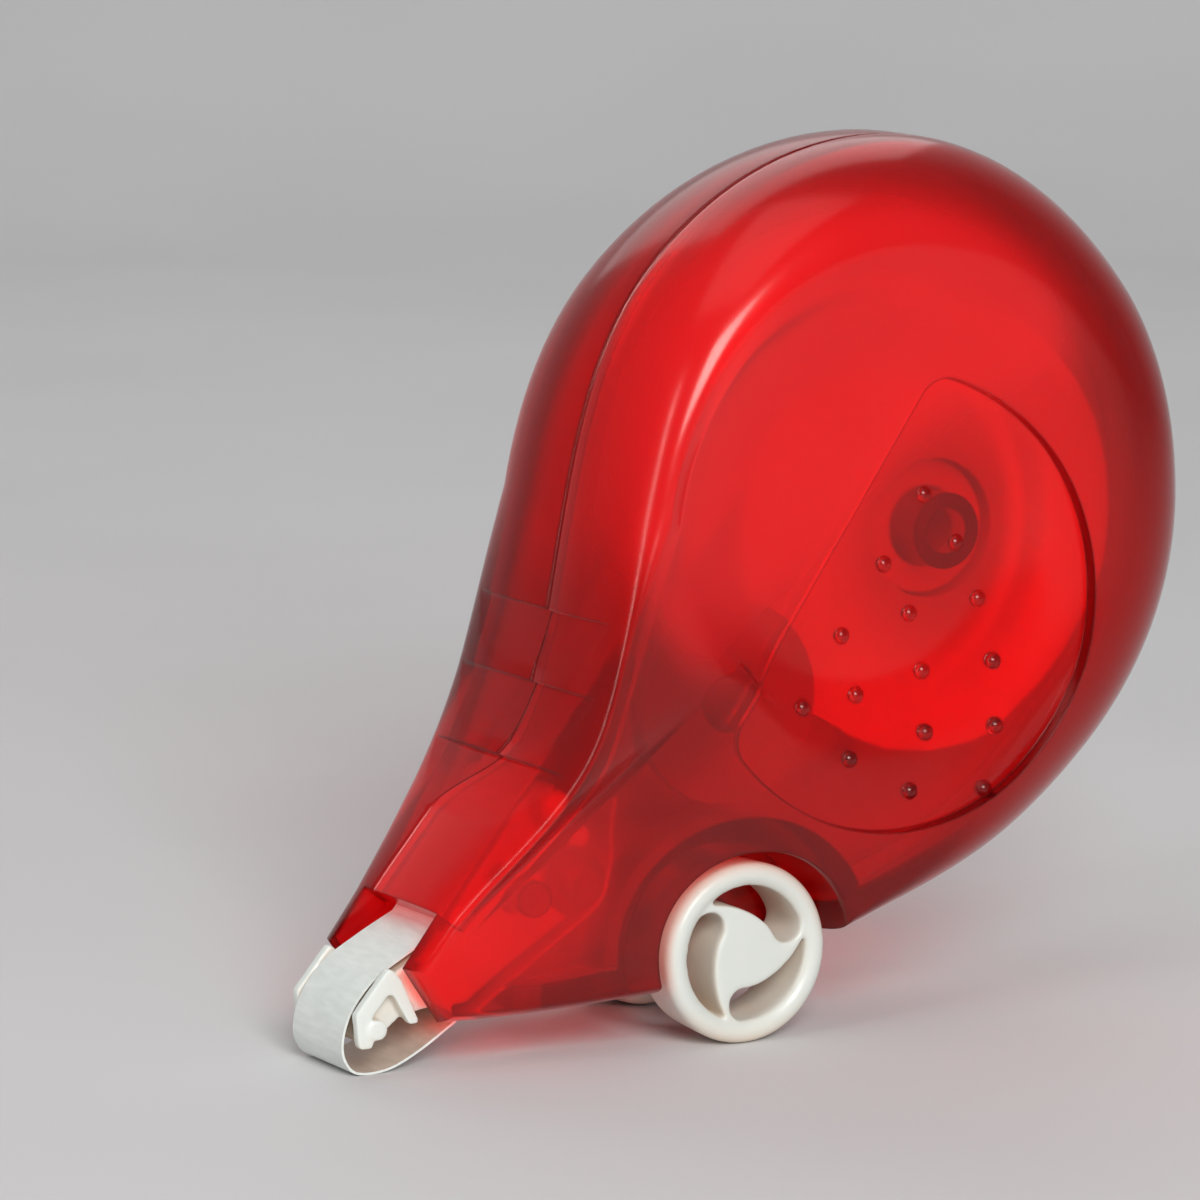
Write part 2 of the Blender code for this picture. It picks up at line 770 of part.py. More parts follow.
def make_clutch_ring(material, parent):
    """Rubber ring between the gear's hub and the supply reel, domed where it rubs."""
    low = HUB_RADIUS - CLUTCH_RING_THICKNESS + RUN_GAP / 2
    high = CORE_BORE - RUN_GAP / 2
    half = CLUTCH_RING_WIDTH / 2
    bevel = (high - low) / 3
    ring = turned("ring", [
        (low, half),
        (high - bevel, half),
        (high, half - bevel),
        (high, bevel - half),
        (high - bevel, -half),
        (low, -half),
    ])
    return finish(ring, "clutch_ring", material, parent, SUPPLY_AXIS)


def make_supply_reel(material, parent):
    flange_radius = SUPPLY_ROLL_RADIUS + FLANGE_MARGIN
    reel = turned("reel", [
        (CORE_BORE, HALF_TAPE),
        (CORE_RADIUS, HALF_TAPE),
        (CORE_RADIUS, -REEL_FACE),
        (flange_radius, -REEL_FACE),
        (flange_radius, -REEL_STACK),
        (CORE_BORE, -REEL_STACK),
    ])
    return finish(reel, "supply_reel", material, parent, SUPPLY_AXIS)


def make_roll(name, core, radius, axis, material, parent):
    """Wound tape as a ring with slightly eased edges."""
    roll = turned("roll", [
        (core + SEAT_GAP, HALF_TAPE),
        (radius - TAPE_THICKNESS, HALF_TAPE),
        (radius, HALF_TAPE - TAPE_THICKNESS),
        (radius, TAPE_THICKNESS - HALF_TAPE),
        (radius - TAPE_THICKNESS, -HALF_TAPE),
        (core + SEAT_GAP, -HALF_TAPE),
    ])
    return finish(roll, name, material, parent, axis)


def make_take_up_reel(material, parent):
    """Core, near flange and pinion as one moulding; a tooth space faces the gear."""
    phase = TAKE_UP_HEADING + math.pi + math.pi / PINION_TEETH
    reel = prism("pinion", gear_outline(PINION_TEETH, phase), REEL_FACE, REEL_FACE + GEAR_FACE)
    cut(reel, rod("bore", (0, 0), TAKE_UP_BORE, -OUTER_REACH, OUTER_REACH, ROUND_STEPS))
    middle = REEL_FACE + GEAR_FACE / 2
    flange_radius = TAKE_UP_ROLL_RADIUS + TAKE_UP_FLANGE_MARGIN
    core = turned("core", [
        (TAKE_UP_BORE, middle),
        (TAKE_UP_CORE_RADIUS - SEAT_GAP, middle),
        (TAKE_UP_CORE_RADIUS, HALF_TAPE),
        (TAKE_UP_CORE_RADIUS, -TAKE_UP_FACE),
        (flange_radius, -TAKE_UP_FACE),
        (flange_radius, -TAKE_UP_FACE - FLANGE),
        (TAKE_UP_BORE, -TAKE_UP_FACE - FLANGE),
    ])
    join(reel, core)
    return finish(reel, "take_up_reel", material, parent, TAKE_UP_AXIS)


# Wheels

def swirl_opening(start):
    """Teardrop between hub and rim: pointed at its start, round at its end."""
    rim = WHEEL_RADIUS - WHEEL_RIM
    steps = 2 * SPAN_STEPS
    points = []
    for k in range(steps + 1):
        points.append(heading_vector(start - WHEEL_SWIRL * k / steps) * rim)
    middle = (rim + WHEEL_HUB_RADIUS) / 2
    half = (rim - WHEEL_HUB_RADIUS) / 2
    end = heading_vector(start - WHEEL_SWIRL)
    for k in range(1, SPAN_STEPS + 1):
        angle = math.pi * k / (SPAN_STEPS + 1)
        across = end * (middle + half * math.cos(angle))
        points.append(across - left_of(end) * half * math.sin(angle))
    for k in range(steps):
        share = 1 - k / steps
        radius = mix(rim, WHEEL_HUB_RADIUS, share ** WHEEL_SWIRL_POWER)
        points.append(heading_vector(start - WHEEL_SWIRL * share) * radius)
    return points


def wheel_profile():
    """Radius and y from the back, over the tread and the round rim, to the sunk face."""
    back = WHEEL_RADIUS - WHEEL_BACK_TAPER
    half_rim = WHEEL_RIM / 2
    profile = [(AXLE_RADIUS, 0.0)]
    for k in range(EDGE_STEPS + 1):
        angle = math.pi / 2 * k / EDGE_STEPS
        profile.append((
            back - WHEEL_EDGE * (1 - math.sin(angle)),
            -WHEEL_EDGE * (1 - math.cos(angle)),
        ))
    for k in range(2 * EDGE_STEPS):
        angle = math.pi * k / (2 * EDGE_STEPS)
        profile.append((
            WHEEL_RADIUS - half_rim * (1 - math.cos(angle)),
            half_rim * (1 - math.sin(angle)) - WHEEL_WIDTH,
        ))
    profile.append((WHEEL_RADIUS - WHEEL_RIM, WHEEL_FACE_SINK - WHEEL_WIDTH))
    profile.append((AXLE_RADIUS, WHEEL_FACE_SINK - WHEEL_WIDTH))
    return profile


def make_wheel():
    """Wheel with its back at y = 0 and its face at negative y."""
    wheel = turned("wheel", wheel_profile(), closed=False)
    for k in range(WHEEL_SPOKES):
        start = WHEEL_SWIRL_START + 2 * math.pi * k / WHEEL_SPOKES
        cut(wheel, prism("opening", swirl_opening(start), -OUTER_REACH, OUTER_REACH))
    bore_end = AXLE_END_COVER - SEAT_GAP - WHEEL_WIDTH
    cut(wheel, rod("bore", (0, 0), AXLE_RADIUS + RUN_GAP, bore_end, OUTER_REACH))
    return wheel


def make_wheels(material, parent):
    near = finish(make_wheel(), "near_wheel", material, parent, WHEEL_AXIS)
    near.location.y = -WHEEL_INNER_Y * MM
    far = near.copy()
    bpy.context.scene.collection.objects.link(far)
    far.name = "far_wheel"
    far.location.y = WHEEL_INNER_Y * MM
    far.rotation_euler.z = math.pi


def make_axle(material, parent):
    axle = bevelled_rod("axle", AXLE_RADIUS, WHEEL_OUTER_Y - AXLE_END_COVER, AXLE_BEVEL)
    return finish(axle, "wheel_axle", material, parent, WHEEL_AXIS)


# Tape and tip

def tape_bend():
    """Where the fresh tape turns between the front wall and the bar, and the way inwards."""
    place, inward = front_wall(HEAD_BAR_Z)
    return place + inward * (WALL + TAPE_PATH_GAP), inward


def head_bar():
    """Middle of the bar on the stem that keeps the fresh tape by the front wall."""
    bend, inward = tape_bend()
    return bend + inward * (TAPE_PATH_GAP + HEAD_BAR_RADIUS)


def tape_lip():
    """Where the middle line of the tape passes under the lip of the nose, and the way inwards."""
    x, z, heading = OUTLINE_KNOTS[-1]
    inward = heading_vector(math.radians(heading + 90))
    return Vector((x, z)) + inward * (WALL + TAPE_PATH_GAP), inward


def wrap(first, second):
    """Points where a taut tape leaves one circle and meets the next.

    A circle is (centre, radius, hand), hand +1 where its centre lies left of the tape.
    """
    c1, r1, h1 = first
    c2, r2, h2 = second
    between = Vector(c2) - Vector(c1)
    lean = math.asin((h2 * r2 - h1 * r1) / between.length)
    left = heading_vector(math.atan2(between.y, between.x) - lean + math.pi / 2)
    return Vector(c1) - left * h1 * r1, Vector(c2) - left * h2 * r2


def arc_points(centre, start, end, hand, steps):
    """Points from start to end round a centre, turning left for hand +1."""
    centre = Vector(centre)
    a0 = math.atan2(start.y - centre.y, start.x - centre.x)
    a1 = math.atan2(end.y - centre.y, end.x - centre.x)
    radius = (start - centre).length
    sweep = (a1 - a0) * hand % (2 * math.pi) * hand
    return arc(centre, radius, a0, a0 + sweep, steps)


def spline_points(knots, steps):
    """Smooth curve through knots."""
    points = []
    last = len(knots) - 1
    for k in range(last):
        p0 = knots[max(0, k - 1)]
        p1 = knots[k]
        p2 = knots[k + 1]
        p3 = knots[min(last, k + 2)]
        for step in range(steps):
            t = step / steps
            points.append(
                (p1 * 2 + (p2 - p0) * t + (p0 * 2 - p1 * 5 + p2 * 4 - p3) * t * t
                 + (p1 * 3 - p0 - p2 * 3 + p3) * t ** 3) / 2
            )
    points.append(knots[last])
    return points


def boss_circle():
    return BOSS, BOSS_RADIUS + TAPE_PATH_GAP, 1


def tape_path():
    """Middle line of the tape from the supply roll round the tip to the take-up roll."""
    supply = (SUPPLY_AXIS, SUPPLY_ROLL_RADIUS + TAPE_PATH_GAP, 1)
    take_up = (TAKE_UP_AXIS, TAKE_UP_ROLL_RADIUS + TAPE_PATH_GAP, -1)
    bend = tape_bend()[0]
    loop = [tape_lip()[0]] + [Vector(p) for p in LOOP_KNOTS]
    leave_supply = wrap(supply, (bend, 0.0, 1))[0]
    meet_boss = wrap((loop[-1], 0.0, 1), boss_circle())[1]
    leave_boss, meet_take_up = wrap(boss_circle(), take_up)
    path = [leave_supply, bend]
    path += spline_points(loop, SPAN_STEPS)
    path += arc_points(BOSS, meet_boss, leave_boss, 1, SPAN_STEPS)
    path.append(meet_take_up)
    return path


def make_carrier_tape(material, parent):
    path = tape_path()
    rings = []
    for k, point in enumerate(path):
        along = path[min(len(path) - 1, k + 1)] - path[max(0, k - 1)]
        left = left_of(along.normalized()) * TAPE_THICKNESS / 2
        a = point + left
        b = point - left
        rings.append([
            (a.x, -HALF_TAPE, a.y),
            (b.x, -HALF_TAPE, b.y),
            (b.x, HALF_TAPE, b.y),
            (a.x, HALF_TAPE, a.y),
        ])
    tape = loft("tape", rings)
    return finish(tape, "carrier_tape", material, parent, smooth_angle=50)


def stem_outline():
    """Blade and stem, filling the space between the two runs of tape."""
    lip, inward = tape_lip()
    bar = head_bar()
    loop_end = Vector(LOOP_KNOTS[-1])
    meet_boss = wrap((loop_end, 0.0, 1), boss_circle())[1]
    return_run = (meet_boss - loop_end).normalized()
    lift = left_of(return_run) * 2 * TAPE_PATH_GAP
    corners = list(BLADE_FRONT)
    corners.append(lip + inward * TAPE_PATH_GAP)
    corners.append(bar - inward * HEAD_BAR_RADIUS)
    corners.append(Vector(BOSS) + heading_vector(STEM_BACK_BEARING) * STEM_BACK_REACH)
    corners.append(BOSS)
    corners.append(meet_boss + lift)
    corners.append(loop_end + return_run * WALL + lift)
    corners.append(BLADE_BACK)
    return corners


def add_cheek(tip, side):
    """Roof-shaped cheek beside the tape, held to the blade by two short roots."""
    inner = side * (HALF_TAPE + TIP_SIDE_GAP)
    outer = side * TIP_HALF
    cheek = prism("cheek", rounded(CHEEK_OUTLINE, TIP_CORNER, EDGE_STEPS), inner, outer)
    join(cheek, rod("knob", CHEEK_KNOB, CHEEK_KNOB_RADIUS, inner, outer + side * CHEEK_KNOB_RISE))
    for place in CHEEK_ROOTS:
        middle = (inner + outer) / 2
        join(cheek, rod("root", place, CHEEK_ROOT_RADIUS, side * HALF_TAPE, middle))
    join(tip, cheek)


def make_tip(material, parent):
    """Blade, cheeks and stem as one moulding, pinned between the shells."""
    tip = prism("stem", rounded(stem_outline(), TIP_CORNER), -BLADE_HALF, BLADE_HALF)
    bar = bevelled_rod("bar", HEAD_BAR_RADIUS, TIP_HALF + HEAD_BAR_OVERHANG, HEAD_BAR_BEVEL)
    join(tip, move_to(bar, head_bar()))
    for side in (-1, 1):
        add_cheek(tip, side)
    cut(tip, rod("saddle", BOSS, BOSS_RADIUS + RUN_GAP, -OUTER_REACH, OUTER_REACH, ROUND_STEPS))
    cut(tip, rod("hole", TIP_PIN, TIP_PIN_RADIUS + RUN_GAP, -OUTER_REACH, OUTER_REACH))
    return finish(tip, "applicator_tip", material, parent)


def make_origin(form):
    """Empty that carries every piece and sets the middle of the dispenser over the origin."""
    left = min(p[0] for p in LOOP_KNOTS) - TAPE_THICKNESS / 2
    right = max(p.x for p in form.points)
    origin = bpy.data.objects.new("dispenser", None)
    origin.location.x = -(left + right) / 2 * MM
    bpy.context.scene.collection.objects.link(origin)
    return origin


def main():
    clear_scene()
    red = make_material("red_translucent_plastic", (0.72, 0.02, 0.03), 0.15, alpha=0.75)
    white = make_material("white_plastic", (0.86, 0.87, 0.83), 0.35)
    ivory = make_material("ivory_plastic", (0.80, 0.78, 0.70), 0.4)
    grey = make_material("grey_plastic", (0.32, 0.32, 0.33), 0.4)
    rubber = make_material("black_rubber", (0.03, 0.03, 0.03), 0.7)
    steel = make_material("steel", (0.6, 0.6, 0.62), 0.3, metallic=1.0)
    tape = make_material("white_tape", (0.88, 0.89, 0.86), 0.5)
    form = BodyForm()
    origin = make_origin(form)
    make_shell(form, -1, "near_shell", red, origin)
    make_shell(form, 1, "far_shell", red, origin)
    make_tip(white, origin)
    make_carrier_tape(tape, origin)
    make_drive_gear(ivory, origin)
    make_clutch_ring(rubber, origin)
    make_supply_reel(white, origin)
    make_roll("supply_tape_roll", CORE_RADIUS, SUPPLY_ROLL_RADIUS, SUPPLY_AXIS, tape, origin)
    make_take_up_reel(grey, origin)
    make_roll("take_up_tape_roll", TAKE_UP_CORE_RADIUS, TAKE_UP_ROLL_RADIUS, TAKE_UP_AXIS, tape, origin)
    make_wheels(white, origin)
    make_axle(steel, origin)


main()
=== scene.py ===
"""Looks of the correction tape dispenser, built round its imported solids.

The fine pieces use the drawing frame of the solids: x from the tip towards the head, y across
the body with the near half at negative y, and z up from the paper, in millimetres.
"""

import math

import bmesh
import bpy
from mathutils import Matrix, Vector
from mathutils.bvhtree import BVHTree


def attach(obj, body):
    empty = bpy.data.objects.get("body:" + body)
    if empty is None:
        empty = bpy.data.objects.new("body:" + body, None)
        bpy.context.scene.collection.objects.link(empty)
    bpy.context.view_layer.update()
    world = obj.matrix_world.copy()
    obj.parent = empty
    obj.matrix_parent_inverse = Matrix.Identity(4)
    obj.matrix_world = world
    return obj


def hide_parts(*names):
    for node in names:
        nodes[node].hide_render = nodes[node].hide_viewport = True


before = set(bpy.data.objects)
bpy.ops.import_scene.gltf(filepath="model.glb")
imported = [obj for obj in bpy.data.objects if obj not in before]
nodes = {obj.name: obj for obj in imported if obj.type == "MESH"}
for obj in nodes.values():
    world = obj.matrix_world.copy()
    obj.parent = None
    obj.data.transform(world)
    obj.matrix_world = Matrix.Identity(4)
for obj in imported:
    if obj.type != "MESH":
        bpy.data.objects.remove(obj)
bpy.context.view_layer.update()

MM = 0.001
MIDDLE_X = 22.755

# Clearances
SEAT_GAP = 0.3
RUN_GAP = 0.15
SEAM_GAP = 0.06

# Tape, reels and posts
HALF_TAPE = 2.5
TAPE_THICKNESS = 0.12
TAPE_PATH_GAP = SEAT_GAP + TAPE_THICKNESS / 2
SUPPLY_ROLL_RADIUS = 9.8
TAKE_UP_ROLL_RADIUS = 4.0
SUPPLY_AXIS = (31.6, 24.25)
TAKE_UP_AXIS = (19.171074, 16.781948)
SUPPLY_POST_RADIUS = 1.9
SUPPLY_POST_BORE = 1.15
SUPPLY_BORE_END = 3.4
TAKE_UP_POST_RADIUS = 1.3
SUPPLY_SOCKET = -3.8
TAKE_UP_POST_END = -4.5

# Shell
WALL = 1.2
HALF_DEPTH = 7.5
NOSE_HALF_DEPTH = 4.8
SEAM_Y = -0.9
RIM_ROUND = 0.22
NECK_STRAIGHT = 0.35
HEAD_STRAIGHT = 0.18
HEAD_SHOULDER = 5.4
NECK_SHOULDER = 0.9
RIDGE_SHARE = 0.65
NECK_LENGTH = 13.0
SHOULDER_START = 14.0
SHOULDER_LENGTH = 20.0
SEAM_JOG_START = 7.0
SEAM_JOG_LENGTH = 4.5
DISH_CENTRE = Vector((26.3, 25.0))
DISH_RADIUS = 11.0
DISH_LIP_DROP = 0.55
DISH_FLOOR = 6.2
# Share of the dish's radius, and share of the way from its lip to its floor
DISH_PROFILE = ((1.0, 0.0), (0.86, 0.55), (0.72, 0.93), (0.62, 1.0), (0.52, 1.0))
SCOOP_CENTRE = Vector((27.7, 21.2))
SCOOP_RADIUS = 11.3
SCOOP_CORNER = 1.6
SCOOP_CHORD_OFFSET = 4.4
SCOOP_HEADING = math.radians(145.0)
SCOOP_DEPTH = 0.7
GRIP_STEP = 0.35
GRIP_RUN_OUT = 0.06
GRIP_PITCH = 3.5
GRIP_STEPS = 3
GRIP_TOP_Z = 21.5
PIMPLE_RADIUS = 0.42
PIMPLE_RISE = 0.28
PIMPLE_CENTRE = Vector((19.8, 16.6))
# Radius, first and last bearing in degrees, and count
PIMPLE_ARCS = (
    (3.0, -6.0, -6.0, 1),
    (6.2, 29.0, -29.0, 3),
    (10.1, 39.0, -29.0, 5),
    (14.0, 43.5, -21.5, 6),
)
# Reach of the cutting and filling shapes, past the outside and into the inside
OUTER_REACH = 15.0
INNER_REACH = 5.0

# Shell finish and its painted shade (edges, thumb rest, pimples, neck): each pair is where a zone
# starts to fade and where it ends
EDGE_SHADE_RADIUS = 0.26
EDGE_SHADE_TURN = (0.75, 0.99)
SCOOP_FACE_START = (5.3, 5.45)
SCOOP_FACE_END = (5.56, 5.75)
SCOOP_SHADE = 0.55
SCOOP_SHADE_RADII = (2.5, 9.0)
PIMPLE_SHADE = 0.8
PIMPLE_SHADE_RADII = (0.3, 0.45)
SATIN_AXIS = (26.0, 27.5)
SATIN_RADII = (11.5, 15.5)
SATIN_DIRECTION = (-0.57, 0.0, 0.82)
SATIN_START = 14.5
SATIN_FADE = 8.0
SATIN_MIDDLE = 1.5
SATIN_DEPTHS = (2.6, 5.0)
SATIN_ROUGHNESS = 0.04
NOSE_AXIS = (7.5, 8.5)
NOSE_RADII = (3.5, 6.0)
NOSE_SATIN = 0.45
NECK_SHADOW_AXIS = (13.3, 19.5)
NECK_SHADOW_RADII = (4.5, 7.0)

# Wheels
WHEEL_AXIS = (19.5, 4.5)
WHEEL_RADIUS = 4.5
WHEEL_WIDTH = 3.6
WHEEL_INNER_Y = 2.7
WHEEL_RIM = 1.15
WHEEL_EDGE = 0.55
WHEEL_FACE_SINK = 0.15
WHEEL_BACK_TAPER = 0.15
WHEEL_SPOKES = 3
WHEEL_HUB_RADIUS = 1.72
WHEEL_SWIRL = math.radians(104.0)
WHEEL_SWIRL_START = math.radians(130.0)
WHEEL_SWIRL_POWER = 3.0
WHEEL_BORE_END = -2.6
WELL_RADIUS = 5.5
WELL_OPENING = 5.2
WELL_FLOOR = 2.35
WELL_LIP = 0.5
AXLE_RADIUS = 0.9
AXLE_BOSS_RADIUS = 2.1

# Body outline: x, z and heading in degrees, anticlockwise seen from the near side
OUTLINE_KNOTS = (
    (3.5, 2.25, 356.0),
    (15.0, 2.75, 7.0),
    (27.75, 5.55, 13.0),
    (36.05, 8.4, 29.0),
    (42.85, 14.3, 53.0),
    (46.5, 24.9, 90.0),
    (42.85, 36.5, 128.0),
    (30.0, 43.65, 180.0),
    (16.6, 37.3, 230.0),
    (11.75, 24.0, 259.0),
    (9.5, 15.8, 244.0),
    (3.3, 7.6, 233.0),
)
NECK_KNOT = 9
CORNER_ROOM = 1.5
NOSE_POINT = (1.5, 5.3)
NOSE_ORIGIN = Vector((3.0, 5.0))
BODY_AXIS = math.radians(37.7)
MOUTH_ROOF = (5.6, 4.9)
MOUTH_BACK = (9.2, 4.4)
MOUTH_FRONT_X = -3.0
MOUTH_HALF = 3.6

# Posts in the nose
BOSS_RADIUS = 1.5
BOSS_PIN_RADIUS = 0.8
BOSS_BEARING = math.radians(153.7)
BOSS_DISTANCE = WELL_RADIUS + WALL + 2 * TAPE_PATH_GAP + BOSS_RADIUS
BOSS = (
    WHEEL_AXIS[0] + BOSS_DISTANCE * math.cos(BOSS_BEARING),
    WHEEL_AXIS[1] + BOSS_DISTANCE * math.sin(BOSS_BEARING),
)
BOSS_SOCKET = -3.1
TIP_PIN = (8.3, 8.2)
TIP_PIN_RADIUS = 0.9
TIP_SOCKET = -3.6
SOCKET_WALL = 0.7
PIN_REACH = 1.0

# Tip
TIP_CHEEK_INNER = 2.75
TIP_HALF = 3.3
BLADE_HALF = 2.625
TIP_CORNER = 0.3
BLADE_FRONT = ((0.5, 1.45), (-0.25, 1.75), (0.55, 3.75), (1.6, 4.7))
BLADE_BACK = (2.2, 2.75)
CHEEK_OUTLINE = (
    (1.25, 5.35),
    (-0.6, 3.2),
    (-0.45, 1.5),
    (0.35, 1.45),
    (0.3, 3.0),
    (1.3, 4.15),
    (2.3, 2.4),
    (2.85, 2.45),
    (1.85, 4.7),
)
CHEEK_KNOB = (0.55, 2.35)
CHEEK_KNOB_RADIUS = 0.5
CHEEK_KNOB_RISE = 0.12
CHEEK_ROOTS = ((0.85, 3.9), (2.35, 3.1))
CHEEK_ROOT_RADIUS = 0.4
STEM_BACK_REACH = 2.5
STEM_BACK_BEARING = math.radians(65.0)
HEAD_BAR_Z = 13.6
HEAD_BAR_RADIUS = 0.9
HEAD_BAR_HALF = 4.3
HEAD_BAR_ROUND = 0.45
LOOP_KNOTS = (
    (2.6, 5.7),
    (0.75, 4.6),
    (-0.5, 3.1),
    (-0.93, 1.5),
    (-0.55, 0.45),
    (0.25, 0.09),
    (1.7, 0.22),
    (3.3, 0.92),
    (5.0, 1.95),
)

# Stage, in metres, watts and degrees
FLOOR_TURN = -30.4
FLOOR_HALF_WIDTH = 1.5
FLOOR_FRONT = -1.2
FLOOR_DEPTH = 0.35
FLOOR_BEND = 0.15
FLOOR_BEND_STEPS = 12
FLOOR_HEIGHT = 1.2
WORLD_STRENGTH = 0.22
LAMP_AIM = Vector((0, 0, 0.02))
# Name, place, width, height and power
LAMPS = (
    ("key", (-0.175, -0.54, 0.31), 0.27, 0.27, 3.4),
    ("strip", (-0.45, -0.12, 0.16), 0.05, 0.30, 0.3),
    ("top", (-0.10, -0.05, 0.55), 0.45, 0.40, 0.4),
    ("back", (0.10, 0.30, 0.30), 0.36, 0.30, 0.28),
)
CAMERA_TURN = 30.396
CAMERA_LIFT = 9.258
CAMERA_DISTANCE = 0.300
CAMERA_TARGET = (14.75, 21.48)
CAMERA_FOCUS_PIXELS = 6158.94
CAMERA_SENSOR = 36.0
PHOTO_PIXELS = 1200.0

# Fineness
SPAN_STEPS = 16
ROUND_STEPS = 96
POST_STEPS = 40
EDGE_STEPS = 8
RIM_STEPS = 4
OUTER_SHOULDER_STEPS = 14
INNER_SHOULDER_STEPS = 6
OUTER_DISH_STEPS = 4
INNER_DISH_STEPS = 2
SLIVER = 0.0005


# Mesh building

def link_object(name, data):
    item = bpy.data.objects.new(name, data)
    bpy.context.scene.collection.objects.link(item)
    return item


def make_object(name, points, faces):
    """Object from millimetre points, with its normals turned out."""
    mesh = bpy.data.meshes.new(name)
    mesh.from_pydata([Vector(p) * MM for p in points], [], faces)
    work = bmesh.new()
    work.from_mesh(mesh)
    bmesh.ops.recalc_face_normals(work, faces=work.faces)
    work.to_mesh(mesh)
    work.free()
    return link_object(name, mesh)


def loft(name, rings, closed=False):
    """Skin through rings of equal length; the ends are capped unless the rings close."""
    count = len(rings[0])
    points = [p for ring in rings for p in ring]
    faces = []
    last = len(rings) if closed else len(rings) - 1
    for row in range(last):
        lower = row * count
        upper = (row + 1) % len(rings) * count
        for k in range(count):
            after = (k + 1) % count
            faces.append((lower + k, lower + after, upper + after, upper + k))
    if not closed:
        faces.append(tuple(range(count)))
        faces.append(tuple(range((len(rings) - 1) * count, len(rings) * count)))
    return make_object(name, points, faces)


def prism(name, outline, low, high):
    """Outline in x and z, extruded along y."""
    return loft(name, [[(p[0], y, p[1]) for p in outline] for y in (low, high)])


def circle(centre, radius, steps):
    angles = [2 * math.pi * k / steps for k in range(steps)]
    return [(centre[0] + radius * math.cos(a), centre[1] + radius * math.sin(a)) for a in angles]


def rod(name, centre, radius, low, high, steps=POST_STEPS):
    return prism(name, circle(centre, radius, steps), low, high)


def turned(name, profile, centre=(0, 0), steps=ROUND_STEPS, closed=False):
    """Profile of (radius, y) turned round an axis along y; an open one starts and ends flat."""
    rings = [[(x, y, z) for x, z in circle(centre, r, steps)] for r, y in profile]
    return loft(name, rings, closed)


def worked_object(name, work):
    """Object from a mesh under work, which ends with it."""
    mesh = bpy.data.meshes.new(name)
    work.to_mesh(mesh)
    work.free()
    return link_object(name, mesh)


def gather(items):
    """One object from several loose ones."""
    work = bmesh.new()
    for item in items:
        work.from_mesh(item.data)
        bpy.data.objects.remove(item, do_unlink=True)
    return worked_object("gathered", work)


def applied(item):
    """The object with its modifiers worked into its mesh."""
    bpy.context.view_layer.update()
    graph = bpy.context.evaluated_depsgraph_get()
    mesh = bpy.data.meshes.new_from_object(item.evaluated_get(graph))
    item.modifiers.clear()
    item.data = mesh
    return item


def combine(target, tool, operation):
    """Boolean of two objects; the tool is used up."""
    modifier = target.modifiers.new("combine", 'BOOLEAN')
    modifier.operation = operation
    modifier.solver = 'EXACT'
    modifier.object = tool
    applied(target)
    bpy.data.objects.remove(tool, do_unlink=True)
    return target


def cut(target, tool):
    return combine(target, tool, 'DIFFERENCE')


def join(target, tool):
    return combine(target, tool, 'UNION')


def keep(target, tool):
    return combine(target, tool, 'INTERSECT')


def duplicate(item):
    return link_object("copy", item.data.copy())


def cleaned(item):
    """Triangles only, without the slivers and doubled faces that cuts leave."""
    work = bmesh.new()
    work.from_mesh(item.data)
    bmesh.ops.remove_doubles(work, verts=work.verts, dist=SLIVER * MM)
    bmesh.ops.dissolve_degenerate(work, edges=work.edges, dist=SLIVER * MM)
    bmesh.ops.triangulate(work, faces=work.faces)
    groups = {}
    for face in work.faces:
        groups.setdefault(frozenset(face.verts), []).append(face)
    doubled = [face for group in groups.values() if len(group) > 1 for face in group]
    bmesh.ops.delete(work, geom=doubled, context='FACES')
    work.to_mesh(item.data)
    work.free()
    return item


def softened(item, voxel, passes, share):
    """Remeshes finely, smooths so that edges and inner corners flow, and keeps a share of faces.

    The remesh works on the piece in millimetres.
    """
    item.data.transform(Matrix.Scale(1 / MM, 4))
    remesh = item.modifiers.new("remesh", 'REMESH')
    remesh.mode = 'VOXEL'
    remesh.voxel_size = voxel
    smooth = item.modifiers.new("smooth", 'SMOOTH')
    smooth.iterations = passes
    item.modifiers.new("thin", 'DECIMATE').ratio = share
    applied(item).data.transform(Matrix.Scale(MM, 4))
    return item


def settle(item, name, angle=30.0):
    """Name, shading and place of a finished piece."""
    item.name = name
    item.data.name = name
    item.data.transform(Matrix.Translation((-MIDDLE_X * MM, 0, 0)))
    item.data.shade_smooth()
    item.data.set_sharp_from_angle(angle=math.radians(angle))
    return item


# Plane geometry

def mix(a, b, t):
    return a + (b - a) * t


def ease(t):
    t = min(1.0, max(0.0, t))
    return t * t * (3 - 2 * t)


def heading_vector(heading):
    return Vector((math.cos(heading), math.sin(heading)))


def left_of(direction):
    return Vector((-direction.y, direction.x))


def arc(centre, radius, start, end, steps):
    """Points of an arc between two bearings, with both ends."""
    bearings = [mix(start, end, k / steps) for k in range(steps + 1)]
    return [Vector(centre) + heading_vector(b) * radius for b in bearings]


def quarter(steps):
    """Sine and cosine over a quarter turn."""
    angles = [math.pi / 2 * k / steps for k in range(steps + 1)]
    return [(math.sin(a), math.cos(a)) for a in angles]


def curve_between(start, end, steps):
    """Points of a cubic from one knot (x, z, heading) towards the next, without the last."""
    p0 = Vector(start[:2])
    p3 = Vector(end[:2])
    turn = math.radians((end[2] - start[2] + 180) % 360 - 180)
    chord = (p3 - p0).length
    handle = chord / 3
    if abs(turn) > 0.01:
        handle = chord * 2 / 3 * math.tan(turn / 4) / math.sin(turn / 2)
    p1 = p0 + heading_vector(math.radians(start[2])) * handle
    p2 = p3 - heading_vector(math.radians(end[2])) * handle
    points = []
    for k in range(steps):
        t = k / steps
        s = 1 - t
        points.append(p0 * s ** 3 + p1 * 3 * s * s * t + p2 * 3 * s * t * t + p3 * t ** 3)
    return points


